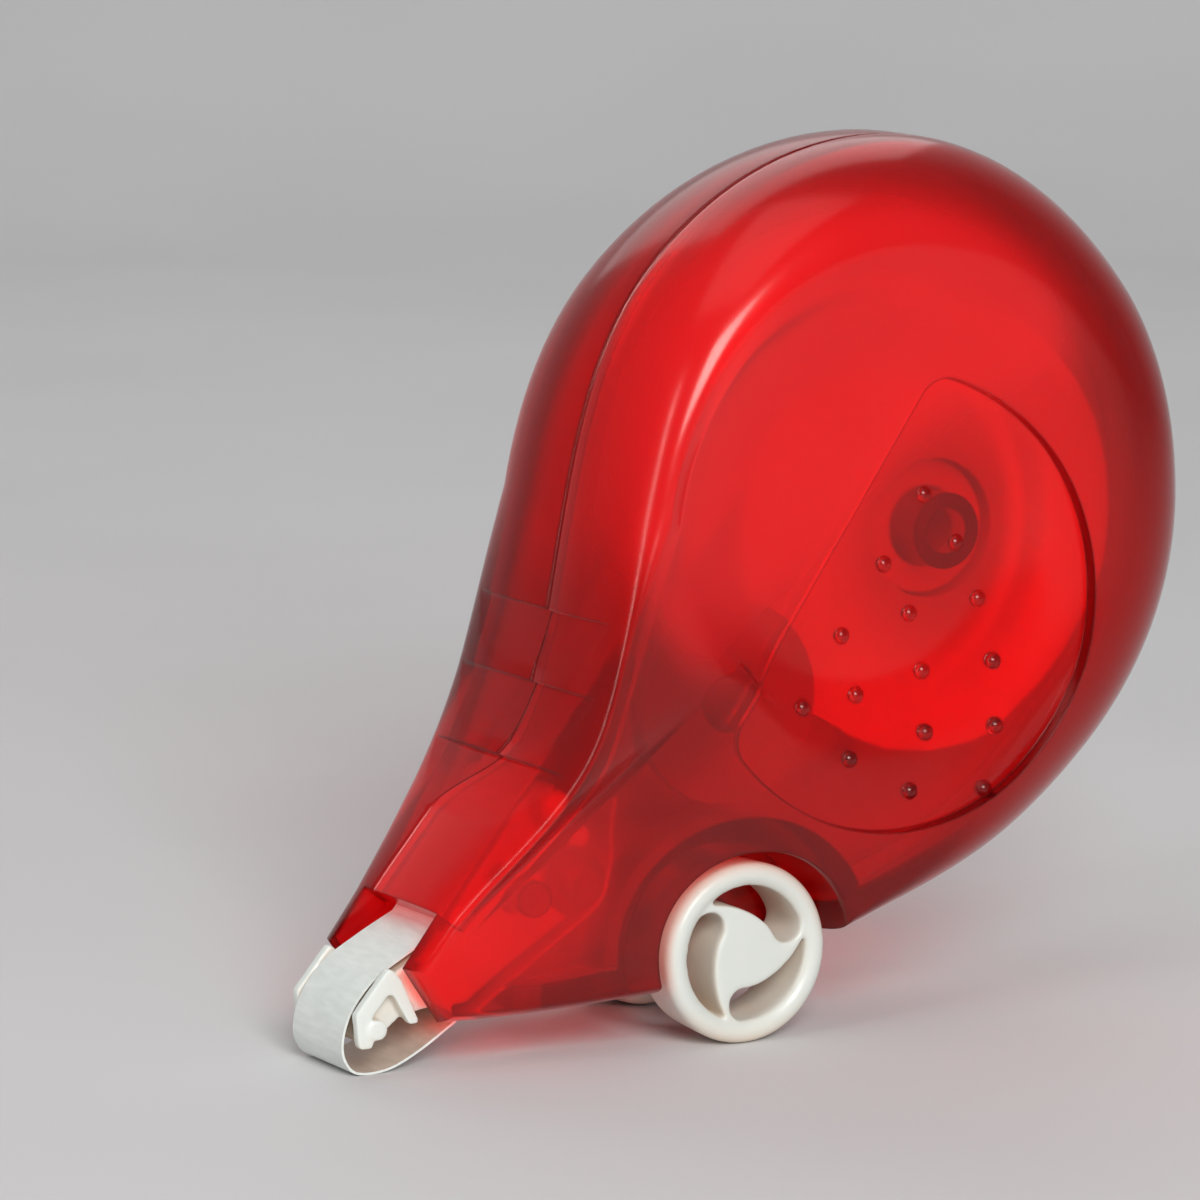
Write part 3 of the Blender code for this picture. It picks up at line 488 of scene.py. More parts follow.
def body_outline():
    """Outline with room beside its lower front corner, so that insets of it stay simple."""
    points = []
    for start, end in zip(OUTLINE_KNOTS, OUTLINE_KNOTS[1:]):
        points += curve_between(start, end, SPAN_STEPS)
    corner = points[0]
    points = [corner] + [p for p in points[1:] if (p - corner).length > CORNER_ROOM]
    return points + [Vector(OUTLINE_KNOTS[-1][:2]), Vector(NOSE_POINT)]


def front_wall(height):
    """Point of the front of the neck or nose at a height, with the direction into the body."""
    points = []
    knots = OUTLINE_KNOTS[NECK_KNOT:]
    for start, end in zip(knots, knots[1:]):
        points += curve_between(start, end, ROUND_STEPS)
    below = next(k for k, p in enumerate(points) if p.y < height)
    upper = points[below - 1]
    lower = points[below]
    share = (upper.y - height) / (upper.y - lower.y)
    return upper.lerp(lower, share), left_of((lower - upper).normalized())


def inward_normals(points):
    """Inward mitre vectors of an anticlockwise outline: one unit of inset each."""
    sharpest = 0.6
    normals = []
    for k, point in enumerate(points):
        before = left_of((point - points[k - 1]).normalized())
        after = left_of((points[(k + 1) % len(points)] - point).normalized())
        bisector = (before + after).normalized()
        normals.append(bisector / max(sharpest, bisector.dot(after)))
    return normals


def rounded(corners, radius, steps):
    """Polygon with its corners rounded by arcs of about the given radius."""
    longest_share = 0.45
    points = []
    for k, corner in enumerate(corners):
        here = Vector(corner)
        to_before = Vector(corners[k - 1]) - here
        to_after = Vector(corners[(k + 1) % len(corners)]) - here
        half = to_before.angle(to_after) / 2
        longest = longest_share * min(to_before.length, to_after.length)
        reach = min(radius / math.tan(half), longest)
        first = here + to_before.normalized() * reach
        last = here + to_after.normalized() * reach
        for step in range(steps + 1):
            t = step / steps
            points.append(first * (1 - t) ** 2 + here * 2 * t * (1 - t) + last * t * t)
    return points


def smooth_through(p0, p1, p2, p3, t):
    """Point between p1 and p2 on a smooth curve through four points."""
    return (
        p1 * 2 + (p2 - p0) * t + (p0 * 2 - p1 * 5 + p2 * 4 - p3) * t * t
        + (p1 * 3 - p0 - p2 * 3 + p3) * t ** 3
    ) / 2


def spline_points(knots, steps):
    last = len(knots) - 1
    points = []
    for k in range(last):
        span = (knots[max(0, k - 1)], knots[k], knots[k + 1], knots[min(last, k + 2)])
        points += [smooth_through(*span, step / steps) for step in range(steps)]
    return points + [knots[last]]


# Shells

class BodyForm:
    """Outline of the body with its depth, shoulder width and seam place at each point."""

    def __init__(self):
        self.points = body_outline()
        self.normals = inward_normals(self.points)
        axis = heading_vector(BODY_AXIS)
        self.depth = []
        self.straight = []
        self.shoulder = []
        self.seam = []
        for p in self.points:
            along = (p - NOSE_ORIGIN).dot(axis)
            in_front = (p - NOSE_ORIGIN).dot(left_of(axis)) > 0
            jog_start = SEAM_JOG_START if in_front else -SEAM_JOG_LENGTH / 2
            rise = ease((along - SHOULDER_START) / SHOULDER_LENGTH)
            self.depth.append(mix(NOSE_HALF_DEPTH, HALF_DEPTH, ease(along / NECK_LENGTH)))
            self.straight.append(mix(NECK_STRAIGHT, HEAD_STRAIGHT, rise))
            room = (p - DISH_CENTRE).length - DISH_RADIUS
            shoulder = mix(NECK_SHOULDER, HEAD_SHOULDER, rise)
            self.shoulder.append(min(shoulder, RIDGE_SHARE * room))
            self.seam.append(mix(HALF_TAPE, SEAM_Y, ease((along - jog_start) / SEAM_JOG_LENGTH)))

    def ring(self, insets, depths, side):
        return [
            Vector((p.x + n.x * d, side * y, p.y + n.y * d))
            for p, n, d, y in zip(self.points, self.normals, insets, depths)
        ]

    def rings(self, side, rims, wall, shoulder_steps, dish_steps):
        """Rings from the rim at the seam to the floor of the dish, inset by a wall."""
        count = len(rims)
        straight = [
            max(share * depth, rim + SEAT_GAP)
            for share, depth, rim in zip(self.straight, self.depth, rims)
        ]
        if wall:
            rings = [self.ring([wall] * count, rims, side)]
        else:
            rings = []
            for s, c in quarter(RIM_STEPS):
                depths = [rim + RIM_ROUND * (1 - c) for rim in rims]
                rings.append(self.ring([RIM_ROUND * (1 - s)] * count, depths, side))
        for s, c in quarter(shoulder_steps):
            insets = [wall + width * (1 - c) for width in self.shoulder]
            depths = [mix(low, high - wall, s) for low, high in zip(straight, self.depth)]
            rings.append(self.ring(insets, depths, side))
        return rings + self.dish_rings(rings[-2], rings[-1], side, wall, dish_steps)

    def dish_rings(self, before, ridge, side, wall, steps):
        """Rings from the ridge smoothly down over the lip of the dish to its flat floor."""
        lip = HALF_DEPTH - DISH_LIP_DROP - wall
        floor = DISH_FLOOR - wall
        columns = []
        for inner, top in zip(before, ridge):
            spoke = (Vector((top.x, top.z)) - DISH_CENTRE).normalized() * DISH_RADIUS
            column = [inner, top]
            edges = []
            for share, sink in DISH_PROFILE:
                place = DISH_CENTRE + spoke * share
                edges.append(Vector((place.x, side * mix(lip, floor, sink), place.y)))
            column.append((top + edges[0]) / 2)
            columns.append(column + edges)
        rings = []
        for first in range(len(columns[0]) - 3):
            for step in range(1, steps + 1):
                rings.append([smooth_through(*c[first:first + 4], step / steps) for c in columns])
        return rings

    def half_shell(self, side):
        """One hollow half, open at the seam."""
        gap = SEAM_GAP if side > 0 else 0.0
        rims = [side * s + gap for s in self.seam]
        outer = self.rings(side, rims, 0.0, OUTER_SHOULDER_STEPS, OUTER_DISH_STEPS)
        inner = self.rings(side, rims, WALL, INNER_SHOULDER_STEPS, INNER_DISH_STEPS)
        return loft("shell", list(reversed(outer)) + inner)

    def solid_half(self, side, inset):
        """The same half filled, inset all round and reaching well past the seam."""
        rims = [-HALF_DEPTH] * len(self.points)
        return loft("solid", self.rings(side, rims, inset, OUTER_SHOULDER_STEPS, OUTER_DISH_STEPS))


def scoop_outline():
    """Round thumb rest cut off by a straight edge towards the front, with rounded corners."""
    reach = SCOOP_RADIUS - SCOOP_CORNER
    spread = math.acos((SCOOP_CHORD_OFFSET - SCOOP_CORNER) / reach)
    first = SCOOP_HEADING - spread
    last = SCOOP_HEADING + spread
    upper = SCOOP_CENTRE + heading_vector(first) * reach
    lower = SCOOP_CENTRE + heading_vector(last) * reach
    points = arc(upper, SCOOP_CORNER, first, SCOOP_HEADING, EDGE_STEPS)
    points += arc(lower, SCOOP_CORNER, SCOOP_HEADING, last, EDGE_STEPS)
    points += arc(SCOOP_CENTRE, SCOOP_RADIUS, last, first + 2 * math.pi, ROUND_STEPS)[1:-1]
    return points


def cut_scoop(shell, form, side):
    """Sinks the thumb rest by one depth, following the face."""
    solid = form.solid_half(side, 0.0)
    solid.data.transform(Matrix.Translation((0, -side * SCOOP_DEPTH * MM, 0)))
    tool = prism("scoop", scoop_outline(), side * INNER_REACH, side * OUTER_REACH)
    cut(shell, cut(tool, solid))


def pimple_places():
    """Middles of the grip pimples, in rows that curve round the thumb."""
    places = []
    for radius, first, last, count in PIMPLE_ARCS:
        for k in range(count):
            bearing = math.radians(mix(first, last, k / max(1, count - 1)))
            places.append(PIMPLE_CENTRE + heading_vector(bearing) * radius)
    return places


def add_pimples(shell, side):
    """Round grip pimples on the thumb rest, each set on the face below it."""
    tree = BVHTree.FromPolygons(
        [v.co.copy() for v in shell.data.vertices],
        [tuple(p.vertices) for p in shell.data.polygons],
    )
    ball = (PIMPLE_RADIUS ** 2 + PIMPLE_RISE ** 2) / (2 * PIMPLE_RISE)
    work = bmesh.new()
    for place in pimple_places():
        start = Vector((place.x, side * OUTER_REACH, place.y)) * MM
        hit = tree.ray_cast(start, Vector((0, -side, 0)))[0]
        made = bmesh.ops.create_icosphere(work, subdivisions=3, radius=ball * MM)
        centre = hit - Vector((0, side * (ball - PIMPLE_RISE) * MM, 0))
        bmesh.ops.translate(work, verts=made["verts"], vec=centre)
    join(shell, worked_object("pimples", work))


def add_wheel_well(shell, core, side):
    """Cup for the wheel, with a rounded lip, and the bored boss that carries the axle."""
    seam = SEAM_Y + SEAM_GAP if side > 0 else SEAM_Y
    back = side * (WELL_FLOOR - WALL)
    cup = turned("cup", [
        (AXLE_BOSS_RADIUS, seam),
        (AXLE_BOSS_RADIUS, back),
        (WELL_RADIUS + WALL, back),
        (WELL_RADIUS + WALL, side * OUTER_REACH),
    ], WHEEL_AXIS)
    join(shell, keep(cup, duplicate(core)))
    profile = [
        (AXLE_RADIUS + RUN_GAP, -side * OUTER_REACH),
        (AXLE_RADIUS + RUN_GAP, side * WELL_FLOOR),
        (WELL_OPENING, side * WELL_FLOOR),
    ]
    for s, c in quarter(EDGE_STEPS):
        depth = HALF_DEPTH - WELL_LIP * (1 - s)
        profile.append((WELL_OPENING + WELL_LIP * (1 - c), side * depth))
    profile.append((WELL_OPENING + WELL_LIP, side * OUTER_REACH))
    cut(shell, turned("well", profile, WHEEL_AXIS))


def cut_mouth(shell):
    """Opens the nose between its cheeks, above for the fresh tape and below for the spent one."""
    x, z, heading = OUTLINE_KNOTS[-1]
    slant = heading_vector(math.radians(heading))
    edge = Vector((x, z)) - slant * SEAT_GAP
    corners = [
        edge - left_of(slant) * WALL,
        edge + left_of(slant) * 2 * WALL,
        MOUTH_ROOF,
        MOUTH_BACK,
        (MOUTH_BACK[0], 0.0),
        (MOUTH_FRONT_X, 0.0),
        (MOUTH_FRONT_X, edge.y),
    ]
    cut(shell, prism("mouth", corners, -MOUTH_HALF, MOUTH_HALF))


def cut_grip(shell):
    """Saw-tooth finger steps down the front: each is sunk at its top and runs out below."""
    corners = []
    for step in range(GRIP_STEPS):
        top = GRIP_TOP_Z - GRIP_PITCH * step
        for k in range(EDGE_STEPS + 1):
            share = k / EDGE_STEPS
            place, inward = front_wall(top - GRIP_PITCH * share)
            corners.append(place + inward * mix(GRIP_STEP, -GRIP_RUN_OUT, share))
    corners.append((corners[-1].x - WALL, corners[-1].y))
    corners.append((corners[-1][0] - WALL, corners[0].y))
    cut(shell, prism("grip", corners, -OUTER_REACH, OUTER_REACH))


def add_posts(shell, core):
    """Posts for the reels and pins for the tip, with their feet inside the wall."""
    posts = gather([
        turned("post", [
            (SUPPLY_POST_BORE, SUPPLY_BORE_END),
            (SUPPLY_POST_BORE, SUPPLY_SOCKET - PIN_REACH),
            (SUPPLY_POST_RADIUS, SUPPLY_SOCKET - PIN_REACH),
            (SUPPLY_POST_RADIUS, OUTER_REACH),
        ], SUPPLY_AXIS, POST_STEPS),
        rod("post", TAKE_UP_AXIS, TAKE_UP_POST_RADIUS, TAKE_UP_POST_END, OUTER_REACH),
        turned("post", [
            (BOSS_PIN_RADIUS, BOSS_SOCKET - PIN_REACH),
            (BOSS_PIN_RADIUS, BOSS_SOCKET + SEAT_GAP),
            (BOSS_RADIUS, BOSS_SOCKET + SEAT_GAP),
            (BOSS_RADIUS, OUTER_REACH),
        ], BOSS, POST_STEPS),
        rod("post", TIP_PIN, TIP_PIN_RADIUS, TIP_SOCKET - PIN_REACH, OUTER_REACH),
    ])
    join(shell, keep(posts, duplicate(core)))


def add_sockets(shell, core):
    """Short tubes on the near half that take the ends of the pins."""
    tubes = []
    for place, radius, end in (
        (SUPPLY_AXIS, SUPPLY_POST_RADIUS, SUPPLY_SOCKET),
        (BOSS, BOSS_PIN_RADIUS, BOSS_SOCKET),
        (TIP_PIN, TIP_PIN_RADIUS, TIP_SOCKET),
    ):
        inner = radius + RUN_GAP
        outer = inner + SOCKET_WALL
        profile = [(inner, end), (outer, end), (outer, -OUTER_REACH), (inner, -OUTER_REACH)]
        tubes.append(turned("socket", profile, place, POST_STEPS, closed=True))
    join(shell, keep(gather(tubes), duplicate(core)))


def make_shell(form, side, name):
    shell = form.half_shell(side)
    core = form.solid_half(side, WALL / 2)
    add_wheel_well(shell, core, side)
    cut_scoop(shell, form, side)
    cut_grip(shell)
    cut_mouth(shell)
    if side > 0:
        add_posts(shell, core)
    else:
        add_sockets(shell, core)
    add_pimples(shell, side)
    bpy.data.objects.remove(core, do_unlink=True)
    return settle(cleaned(shell), name)


# Wheels

def swirl_opening(start):
    """Teardrop between hub and rim: pointed at its start, round at its end."""
    rim = WHEEL_RADIUS - WHEEL_RIM
    steps = 2 * SPAN_STEPS
    points = arc((0, 0), rim, start, start - WHEEL_SWIRL, steps)
    middle = (rim + WHEEL_HUB_RADIUS) / 2
    half = (rim - WHEEL_HUB_RADIUS) / 2
    end = heading_vector(start - WHEEL_SWIRL)
    for k in range(1, SPAN_STEPS + 1):
        angle = math.pi * k / (SPAN_STEPS + 1)
        across = end * (middle + half * math.cos(angle))
        points.append(across - left_of(end) * half * math.sin(angle))
    for k in range(steps):
        share = k / steps
        radius = mix(WHEEL_HUB_RADIUS, rim, share ** WHEEL_SWIRL_POWER)
        points.append(heading_vector(start - WHEEL_SWIRL * (1 - share)) * radius)
    return points


def wheel_profile():
    """Radius and y from the back, over the tread and the round rim, to the sunk face."""
    back = WHEEL_RADIUS - WHEEL_BACK_TAPER
    half_rim = WHEEL_RIM / 2
    profile = [(AXLE_RADIUS + RUN_GAP, WHEEL_BORE_END), (AXLE_RADIUS + RUN_GAP, 0.0)]
    for s, c in quarter(EDGE_STEPS):
        profile.append((back - WHEEL_EDGE * (1 - s), -WHEEL_EDGE * (1 - c)))
    for k in range(2 * EDGE_STEPS):
        angle = math.pi * k / (2 * EDGE_STEPS)
        profile.append((
            WHEEL_RADIUS - half_rim * (1 - math.cos(angle)),
            half_rim * (1 - math.sin(angle)) - WHEEL_WIDTH,
        ))
    profile.append((WHEEL_RADIUS - WHEEL_RIM, WHEEL_FACE_SINK - WHEEL_WIDTH))
    profile.append((AXLE_RADIUS, WHEEL_FACE_SINK - WHEEL_WIDTH))
    return profile


def make_wheel(side, name):
    """Wheel with swirled openings, its back towards the body."""
    wheel = turned("wheel", wheel_profile())
    for k in range(WHEEL_SPOKES):
        start = WHEEL_SWIRL_START + 2 * math.pi * k / WHEEL_SPOKES
        cut(wheel, prism("opening", swirl_opening(start), -OUTER_REACH, OUTER_REACH))
    softened(wheel, voxel=0.09, passes=24, share=0.4)
    if side > 0:
        wheel.data.transform(Matrix.Rotation(math.pi, 4, 'Z'))
    place = Vector((WHEEL_AXIS[0], side * WHEEL_INNER_Y, WHEEL_AXIS[1]))
    wheel.data.transform(Matrix.Translation(place * MM))
    return settle(wheel, name)


# Tape and tip

def tape_bend():
    """Where the fresh tape turns between the front wall and the bar, and the way inwards."""
    place, inward = front_wall(HEAD_BAR_Z)
    return place + inward * (WALL + TAPE_PATH_GAP), inward


def head_bar():
    bend, inward = tape_bend()
    return bend + inward * (TAPE_PATH_GAP + HEAD_BAR_RADIUS)


def tape_lip():
    """Where the middle line of the tape passes under the lip of the nose, and the way inwards."""
    x, z, heading = OUTLINE_KNOTS[-1]
    inward = heading_vector(math.radians(heading + 90))
    return Vector((x, z)) + inward * (WALL + TAPE_PATH_GAP), inward


def wrap(first, second):
    """Points where a taut tape leaves one circle and meets the next.

    A circle is (centre, radius, hand), hand +1 where its centre lies left of the tape.
    """
    c1, r1, h1 = first
    c2, r2, h2 = second
    between = Vector(c2) - Vector(c1)
    lean = math.asin((h2 * r2 - h1 * r1) / between.length)
    left = heading_vector(math.atan2(between.y, between.x) - lean + math.pi / 2)
    return Vector(c1) - left * h1 * r1, Vector(c2) - left * h2 * r2


BOSS_CIRCLE = (BOSS, BOSS_RADIUS + TAPE_PATH_GAP, 1)


def tape_path():
    """Middle line of the tape from the supply roll round the tip to the take-up roll."""
    supply = (SUPPLY_AXIS, SUPPLY_ROLL_RADIUS + TAPE_PATH_GAP, 1)
    take_up = (TAKE_UP_AXIS, TAKE_UP_ROLL_RADIUS + TAPE_PATH_GAP, -1)
    bend = tape_bend()[0]
    loop = [tape_lip()[0]] + [Vector(p) for p in LOOP_KNOTS]
    leave_supply = wrap(supply, (bend, 0.0, 1))[0]
    meet_boss = wrap((loop[-1], 0.0, 1), BOSS_CIRCLE)[1]
    leave_boss, meet_take_up = wrap(BOSS_CIRCLE, take_up)
    first = math.atan2(*reversed(meet_boss - Vector(BOSS)))
    last = math.atan2(*reversed(leave_boss - Vector(BOSS)))
    path = [leave_supply, bend]
    path += spline_points(loop, SPAN_STEPS)
    path += arc(BOSS, BOSS_CIRCLE[1], first, first + (last - first) % (2 * math.pi), SPAN_STEPS)
    path.append(meet_take_up)
    return path


def make_tape():
    """The tape as one strip, pale outside the loop and beige inside it."""
    path = tape_path()
    rings = []
    for k, point in enumerate(path):
        along = path[min(len(path) - 1, k + 1)] - path[max(0, k - 1)]
        left = left_of(along.normalized()) * TAPE_THICKNESS / 2
        a = point + left
        b = point - left
        rings.append([(p.x, y, p.y) for p, y in (
            (a, -HALF_TAPE), (b, -HALF_TAPE), (b, HALF_TAPE), (a, HALF_TAPE),
        )])
    tape = settle(loft("tape", rings), "fine_carrier_tape", angle=50.0)
    tape.data.materials.append(paper_tape("tape_white", (0.70, 0.73, 0.69), (0.77, 0.80, 0.76)))
    tape.data.materials.append(paper_tape("tape_back", (0.56, 0.46, 0.37), (0.64, 0.54, 0.45)))
    sides = len(rings[0])
    for k in range(len(path) - 1):
        tape.data.polygons[sides * k + sides - 1].material_index = 1
    return tape


def stem_outline():
    """Blade and stem, filling the space between the two runs of tape."""
    lip, inward = tape_lip()
    loop_end = Vector(LOOP_KNOTS[-1])
    meet_boss = wrap((loop_end, 0.0, 1), BOSS_CIRCLE)[1]
    return_run = (meet_boss - loop_end).normalized()
    lift = left_of(return_run) * 2 * TAPE_PATH_GAP
    return [
        *BLADE_FRONT,
        lip + inward * TAPE_PATH_GAP,
        head_bar() - inward * HEAD_BAR_RADIUS,
        Vector(BOSS) + heading_vector(STEM_BACK_BEARING) * STEM_BACK_REACH,
        BOSS,
        meet_boss + lift,
        loop_end + return_run * WALL + lift,
        BLADE_BACK,
    ]


def make_cheek(side):
    """Roof-shaped cheek beside the tape, with a knob and two short roots to the blade."""
    inner = side * TIP_CHEEK_INNER
    outer = side * TIP_HALF
    cheek = prism("cheek", rounded(CHEEK_OUTLINE, TIP_CORNER, EDGE_STEPS), inner, outer)
    knob = rod("knob", CHEEK_KNOB, CHEEK_KNOB_RADIUS, inner, outer + side * CHEEK_KNOB_RISE)
    join(cheek, knob)
    for place in CHEEK_ROOTS:
        root = rod("root", place, CHEEK_ROOT_RADIUS, side * HALF_TAPE, (inner + outer) / 2)
        join(cheek, root)
    return cheek


def make_tip():
    """Blade, cheeks, stem and head bar as one moulding with soft edges."""
    tip = prism("stem", rounded(stem_outline(), TIP_CORNER, EDGE_STEPS), -BLADE_HALF, BLADE_HALF)
    profile = []
    for s, c in quarter(EDGE_STEPS):
        y = HEAD_BAR_HALF - HEAD_BAR_ROUND * (1 - c)
        profile.append((HEAD_BAR_RADIUS - HEAD_BAR_ROUND * (1 - s), y))
    profile += [(r, -y) for r, y in reversed(profile)]
    join(tip, turned("bar", profile, head_bar(), POST_STEPS))
    for side in (-1, 1):
        join(tip, make_cheek(side))
    cut(tip, rod("saddle", BOSS, BOSS_RADIUS + RUN_GAP, -OUTER_REACH, OUTER_REACH))
    cut(tip, rod("hole", TIP_PIN, TIP_PIN_RADIUS + RUN_GAP, -OUTER_REACH, OUTER_REACH))
    softened(tip, voxel=0.08, passes=6, share=0.2)
    return settle(tip, "fine_applicator_tip")


# Materials

class Finish:
    """A node material round one Principled shader."""

    def __init__(self, name):
        self.material = bpy.data.materials.new(name)
        self.material.use_nodes = True
        self.tree = self.material.node_tree
        self.shader = self.tree.nodes["Principled BSDF"]
        self.place = self.node("ShaderNodeTexCoord").outputs["Object"]

    def node(self, kind, **settings):
        made = self.tree.nodes.new(kind)
        for key, value in settings.items():
            setattr(made, key, value)
        return made

    def link(self, out, into):
        self.tree.links.new(out, into)

    def set(self, **values):
        """Plain values for the shader's inputs."""
        for key, value in values.items():
            self.shader.inputs[key.replace("_", " ")].default_value = value

    def drive(self, **values):
        """Node outputs for the shader's inputs."""
        for key, value in values.items():
            self.link(value, self.shader.inputs[key.replace("_", " ")])

    def sum(self, operation, first, second=0.0):
        """One step of arithmetic; each value is a socket or a plain number."""
        made = self.node("ShaderNodeMath", operation=operation)
        for value, socket in zip((first, second), made.inputs):
            if isinstance(value, (int, float)):
                socket.default_value = value
            else:
                self.link(value, socket)
        return made.outputs["Value"]

    def noise(self, scale, detail=3.0, stretch=None):
        """Noise over the piece; scale is in cycles per millimetre."""
        made = self.node("ShaderNodeTexNoise")
        made.inputs["Scale"].default_value = scale / MM
        made.inputs["Detail"].default_value = detail
        source = self.place
        if stretch:
            mapping = self.node("ShaderNodeMapping")
            mapping.inputs["Scale"].default_value = stretch
            self.link(source, mapping.inputs["Vector"])
            source = mapping.outputs["Vector"]
        self.link(source, made.inputs["Vector"])
        return made.outputs["Fac"]

    def reach(self, direction, start):
        """Distance in millimetres along a direction, counted from a start."""
        made = self.node("ShaderNodeVectorMath", operation='DOT_PRODUCT')
        self.link(self.place, made.inputs[0])
        made.inputs[1].default_value = Vector(direction) / MM
        return self.sum('SUBTRACT', made.outputs["Value"], start)

    def radius(self, axis):
        """Distance in millimetres from an axis along y."""
        squares = []
        for direction, start in (((1, 0, 0), axis[0] - MIDDLE_X), ((0, 0, 1), axis[1])):
            away = self.reach(direction, start)
            squares.append(self.sum('MULTIPLY', away, away))
        return self.sum('SQRT', self.sum('ADD', *squares))

    def nearest(self, axes):
        """Distance in millimetres from the nearest of several axes along y."""
        least = self.radius(axes[0])
        for axis in axes[1:]:
            least = self.sum('MINIMUM', least, self.radius(axis))
        return least

    def layers(self, axis, pitch):
        """Rings round an axis along y, one for each pitch in millimetres, from 0 to 1."""
        return self.sum('PINGPONG', self.sum('MULTIPLY', self.radius(axis), 2.0 / pitch), 1.0)

    def colours(self, value, *stops):
        """Colour ramp over a value, from (place, colour) stops."""
        node = self.node("ShaderNodeValToRGB")
        ramp = node.color_ramp
        while len(ramp.elements) < len(stops):
            ramp.elements.new(0.5)
        for element, (place, colour) in zip(ramp.elements, stops):
            element.position = place
            element.color = (*colour, 1.0)
        self.link(value, node.inputs["Fac"])
        return node.outputs["Color"]

    def spread(self, value, low, high, start=0.3, end=0.7):
        """A range of a value, by default the middle of a noise, spread between two numbers."""
        made = self.node("ShaderNodeMapRange", interpolation_type='SMOOTHSTEP')
        made.inputs["From Min"].default_value = start
        made.inputs["From Max"].default_value = end
        made.inputs["To Min"].default_value = low
        made.inputs["To Max"].default_value = high
        self.link(value, made.inputs["Value"])
        return made.outputs["Result"]

    def eased_normal(self, radius):
        """Normal with the edges rounded by a radius in millimetres."""
        made = self.node("ShaderNodeBevel", samples=4)
        made.inputs["Radius"].default_value = radius * MM
        return made.outputs["Normal"]

    def near_edge(self, radius):
        """Rises from 0 to 1 within a radius in millimetres of an edge."""
        turn = self.node("ShaderNodeVectorMath", operation='DOT_PRODUCT')
        self.link(self.eased_normal(radius), turn.inputs[0])
        self.link(self.node("ShaderNodeNewGeometry").outputs["Normal"], turn.inputs[1])
        return self.spread(turn.outputs["Value"], 1.0, 0.0, *EDGE_SHADE_TURN)

    def bump(self, height, depth, edge=0.0):
        """Bump of a depth in millimetres, over edges rounded by a radius in millimetres."""
        made = self.node("ShaderNodeBump")
        made.inputs["Distance"].default_value = depth * MM
        made.inputs["Strength"].default_value = 1.0
        self.link(height, made.inputs["Height"])
        if edge:
            self.link(self.eased_normal(edge), made.inputs["Normal"])
        self.drive(Normal=made.outputs["Normal"])

    def blend(self, share, first, second):
        """Colour between two, each a socket or a plain colour."""
        made = self.node("ShaderNodeMix", data_type='RGBA')
        self.link(share, made.inputs["Factor"])
        for value, socket in ((first, made.inputs["A"]), (second, made.inputs["B"])):
            if isinstance(value, tuple):
                socket.default_value = (*value, 1.0)
            else:
                self.link(value, socket)
        return made.outputs["Result"]

    def absorb(self, colour, per_mm):
        """Tint that deepens with the way through the plastic."""
        volume = self.node("ShaderNodeVolumeAbsorption")
        volume.inputs["Color"].default_value = (*colour, 1.0)
        volume.inputs["Density"].default_value = per_mm / MM
        self.link(volume.outputs["Volume"], self.tree.nodes["Material Output"].inputs["Volume"])

    def pass_lamps(self, tint):
        """Lets the lamps shine through the clear plastic on to what it encloses."""
        path = self.node("ShaderNodeLightPath")
        clear = self.node("ShaderNodeBsdfTransparent")
        self.link(tint, clear.inputs["Color"])
        either = self.node("ShaderNodeMixShader")
        self.link(path.outputs["Is Shadow Ray"], either.inputs["Fac"])
        self.link(self.shader.outputs["BSDF"], either.inputs[1])
        self.link(clear.outputs["BSDF"], either.inputs[2])
        self.link(either.outputs["Shader"], self.tree.nodes["Material Output"].inputs["Surface"])


def shell_painted_shade(made):
    """Where shade is painted on the red moulding: at its edges, in the thumb rest as a shadow
    round the reel's axis, and on the pimples.
    """
    height = made.sum('ABSOLUTE', made.reach((0, 1, 0), 0.0))
    scoop = made.spread(made.radius(SUPPLY_AXIS), SCOOP_SHADE, 0.0, *SCOOP_SHADE_RADII)
    scoop = made.sum('MULTIPLY', scoop, made.spread(height, 1.0, 0.0, *SCOOP_FACE_END))
    pimples = made.spread(made.nearest(pimple_places()), PIMPLE_SHADE, 0.0, *PIMPLE_SHADE_RADII)
    outside = made.spread(height, 0.0, 1.0, *SCOOP_FACE_START)
    shade = made.sum('MULTIPLY', outside, made.sum('MAXIMUM', scoop, pimples))
    return made.sum('MAXIMUM', made.near_edge(EDGE_SHADE_RADIUS), shade)


def shell_satin(made):
    """Where the red moulding is satin: the upper front of the head's faces, and the nose."""
    depth = made.sum('ABSOLUTE', made.reach((0, 1, 0), SATIN_MIDDLE))
    satin = made.spread(depth, 0.0, 1.0, *SATIN_DEPTHS)
    around = made.spread(made.radius(SATIN_AXIS), 1.0, 0.0, *SATIN_RADII)
    satin = made.sum('MULTIPLY', satin, around)
    upper = made.spread(made.reach(SATIN_DIRECTION, SATIN_START), 0.0, 1.0, 0.0, SATIN_FADE)
    satin = made.sum('MULTIPLY', satin, upper)
    nose = made.spread(made.radius(NOSE_AXIS), NOSE_SATIN, 0.0, *NOSE_RADII)
    return made.sum('MAXIMUM', satin, nose)


